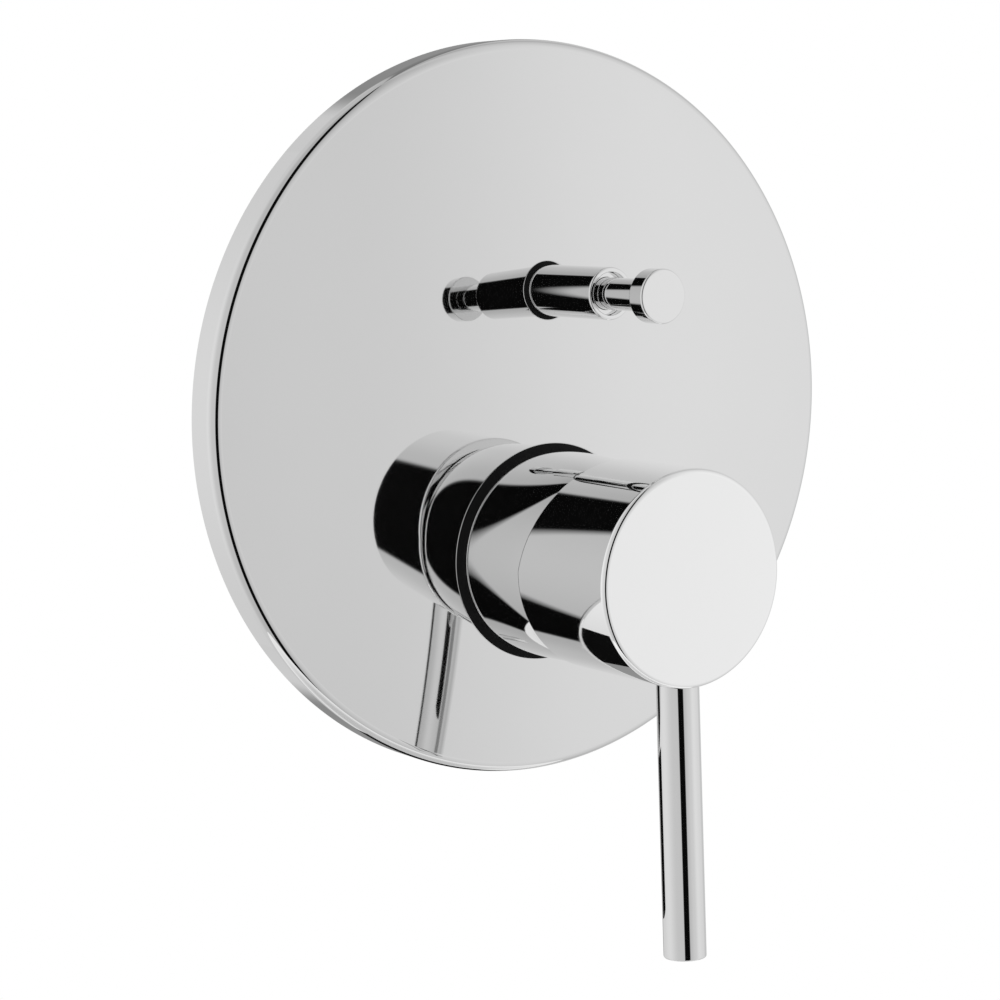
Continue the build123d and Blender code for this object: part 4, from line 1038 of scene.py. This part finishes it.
def floor_material(studio):
    """A pale floor that keeps the object's shadow in the middle and runs out into white."""
    material, tree, shader = new_material("pale_floor")
    place = add_node(tree, "TexCoord").outputs["Object"]
    cloud = add_node(tree, "TexNoise", {"Vector": place, "Scale": 4.0}).outputs["Fac"]
    dark = (*(part * studio.floor_shade for part in studio.floor_colour), 1)
    colour = blend(tree, cloud, (*studio.floor_colour, 1), dark)
    fill(tree, shader, {"Base Color": colour, "Roughness": 0.7})
    flat = add_node(tree, "VectorMath", {0: place, 1: (1, 1, 0)}, operation="MULTIPLY")
    reach = add_node(tree, "VectorMath", {0: flat.outputs["Vector"]}, operation="LENGTH").outputs["Value"]
    fade_start, fade_end = studio.floor_radius * studio.fade_start, studio.floor_radius * studio.fade_end
    edge = spread(tree, reach, fade_start, fade_end, way="SMOOTHSTEP")
    rays = add_node(tree, "LightPath").outputs
    mirrored = reckon(tree, "MAXIMUM", rays["Is Camera Ray"], rays["Is Glossy Ray"])
    seen = reckon(tree, "MAXIMUM", mirrored, rays["Is Transmission Ray"])
    white = add_node(tree, "Emission").outputs["Emission"]
    fade = reckon(tree, "MULTIPLY", edge, seen)
    surface = add_node(tree, "MixShader", {"Fac": fade, 1: shader.outputs["BSDF"], 2: white})
    fill(tree, tree.nodes["Material Output"], {"Surface": surface.outputs["Shader"]})
    return material


class StudioOperator(bpy.types.Operator):
    """Sets the floor, the light and the camera"""

    bl_idname = "bath_mixer.studio"
    bl_label = "Studio"

    def execute(self, context):
        studio = context.scene.bath_mixer.studio
        scene = context.scene
        scene.view_settings.view_transform = "Standard"
        lens = bpy.data.cameras.new("photo_camera")
        lens.lens = studio.lens
        lens.sensor_width = 36.0
        lens.clip_start = 0.01
        camera = bpy.data.objects.new("photo_camera", lens)
        camera.location = studio.camera_place
        camera.rotation_euler = Euler(studio.camera_turn)
        scene.collection.objects.link(camera)
        scene.camera = camera
        scene.world = studio_world(studio)
        floor = join_patches("pale_floor", [self.floor_patch(studio)])
        floor.data.materials.append(floor_material(studio))
        card = join_patches("dark_card", [self.card_patch(studio)])
        card.data.materials.append(finish("black_card", studio.card_colour))
        card.visible_camera = False
        card.visible_diffuse = False
        card.visible_shadow = False
        for name, place, power, size in studio_lamps(studio):
            light = bpy.data.lights.new(name, "AREA")
            light.shape = "DISK"
            light.energy = power
            light.size = size
            lamp = bpy.data.objects.new(name, light)
            lamp.location = place
            lamp.rotation_euler = (-Vector(place)).to_track_quat("-Z", "Y").to_euler()
            lamp.visible_glossy = False
            scene.collection.objects.link(lamp)
        return {"FINISHED"}

    def card_patch(self, studio):
        """A dark card under the plate, which only the chrome sees."""
        across = (studio.card_left, studio.card_right, studio.card_right, studio.card_left)
        up = (studio.card_top, studio.card_top, studio.card_bottom, studio.card_bottom)
        return flat_patch(np.stack([across, np.full(4, studio.card_depth), up], 1), (0, -1, 0))

    def floor_patch(self, studio):
        """A round floor well below the plate."""
        ring = ring_of(studio.floor_radius, 0, count=128)
        points = np.stack([ring[:, 0], ring[:, 1], np.full(len(ring), studio.floor_height)], 1)
        return flat_patch(points, (0, 0, 1))


class MixerPanel(bpy.types.Panel):
    """Lists the pieces of the bath mixer"""

    bl_idname = "VIEW3D_PT_bath_mixer"
    bl_label = "Bath mixer"
    bl_space_type = "VIEW_3D"
    bl_region_type = "UI"
    bl_category = "Bath mixer"

    def draw(self, context):
        for operator in OPERATORS:
            self.layout.operator(operator.bl_idname)


GROUPS = (
    CoverPlateSizes,
    SleeveSizes,
    HandleSizes,
    LeverSizes,
    DiverterSizes,
    SpringSizes,
    PortSizes,
    Finishes,
    StudioSettings,
    MixerSettings,
)
OPERATORS = (
    CoverPlateOperator,
    SleeveOperator,
    HandleOperator,
    LeverOperator,
    DiverterOperator,
    SpringOperator,
    PortThreadsOperator,
    InnerPiecesOperator,
    StudioOperator,
)


def register():
    for item in (*GROUPS, *OPERATORS, MixerPanel):
        bpy.utils.register_class(item)
    bpy.types.Scene.bath_mixer = bpy.props.PointerProperty(type=MixerSettings)


def unregister():
    del bpy.types.Scene.bath_mixer
    for item in reversed((*GROUPS, *OPERATORS, MixerPanel)):
        bpy.utils.unregister_class(item)


def main():
    register()
    bpy.ops.bath_mixer.cover_plate()
    bpy.ops.bath_mixer.sleeve()
    bpy.ops.bath_mixer.handle()
    bpy.ops.bath_mixer.lever()
    bpy.ops.bath_mixer.diverter()
    bpy.ops.bath_mixer.spring()
    bpy.ops.bath_mixer.port_threads()
    bpy.ops.bath_mixer.inner_pieces()
    bpy.ops.bath_mixer.studio()


if __name__ == "__main__":
    main()
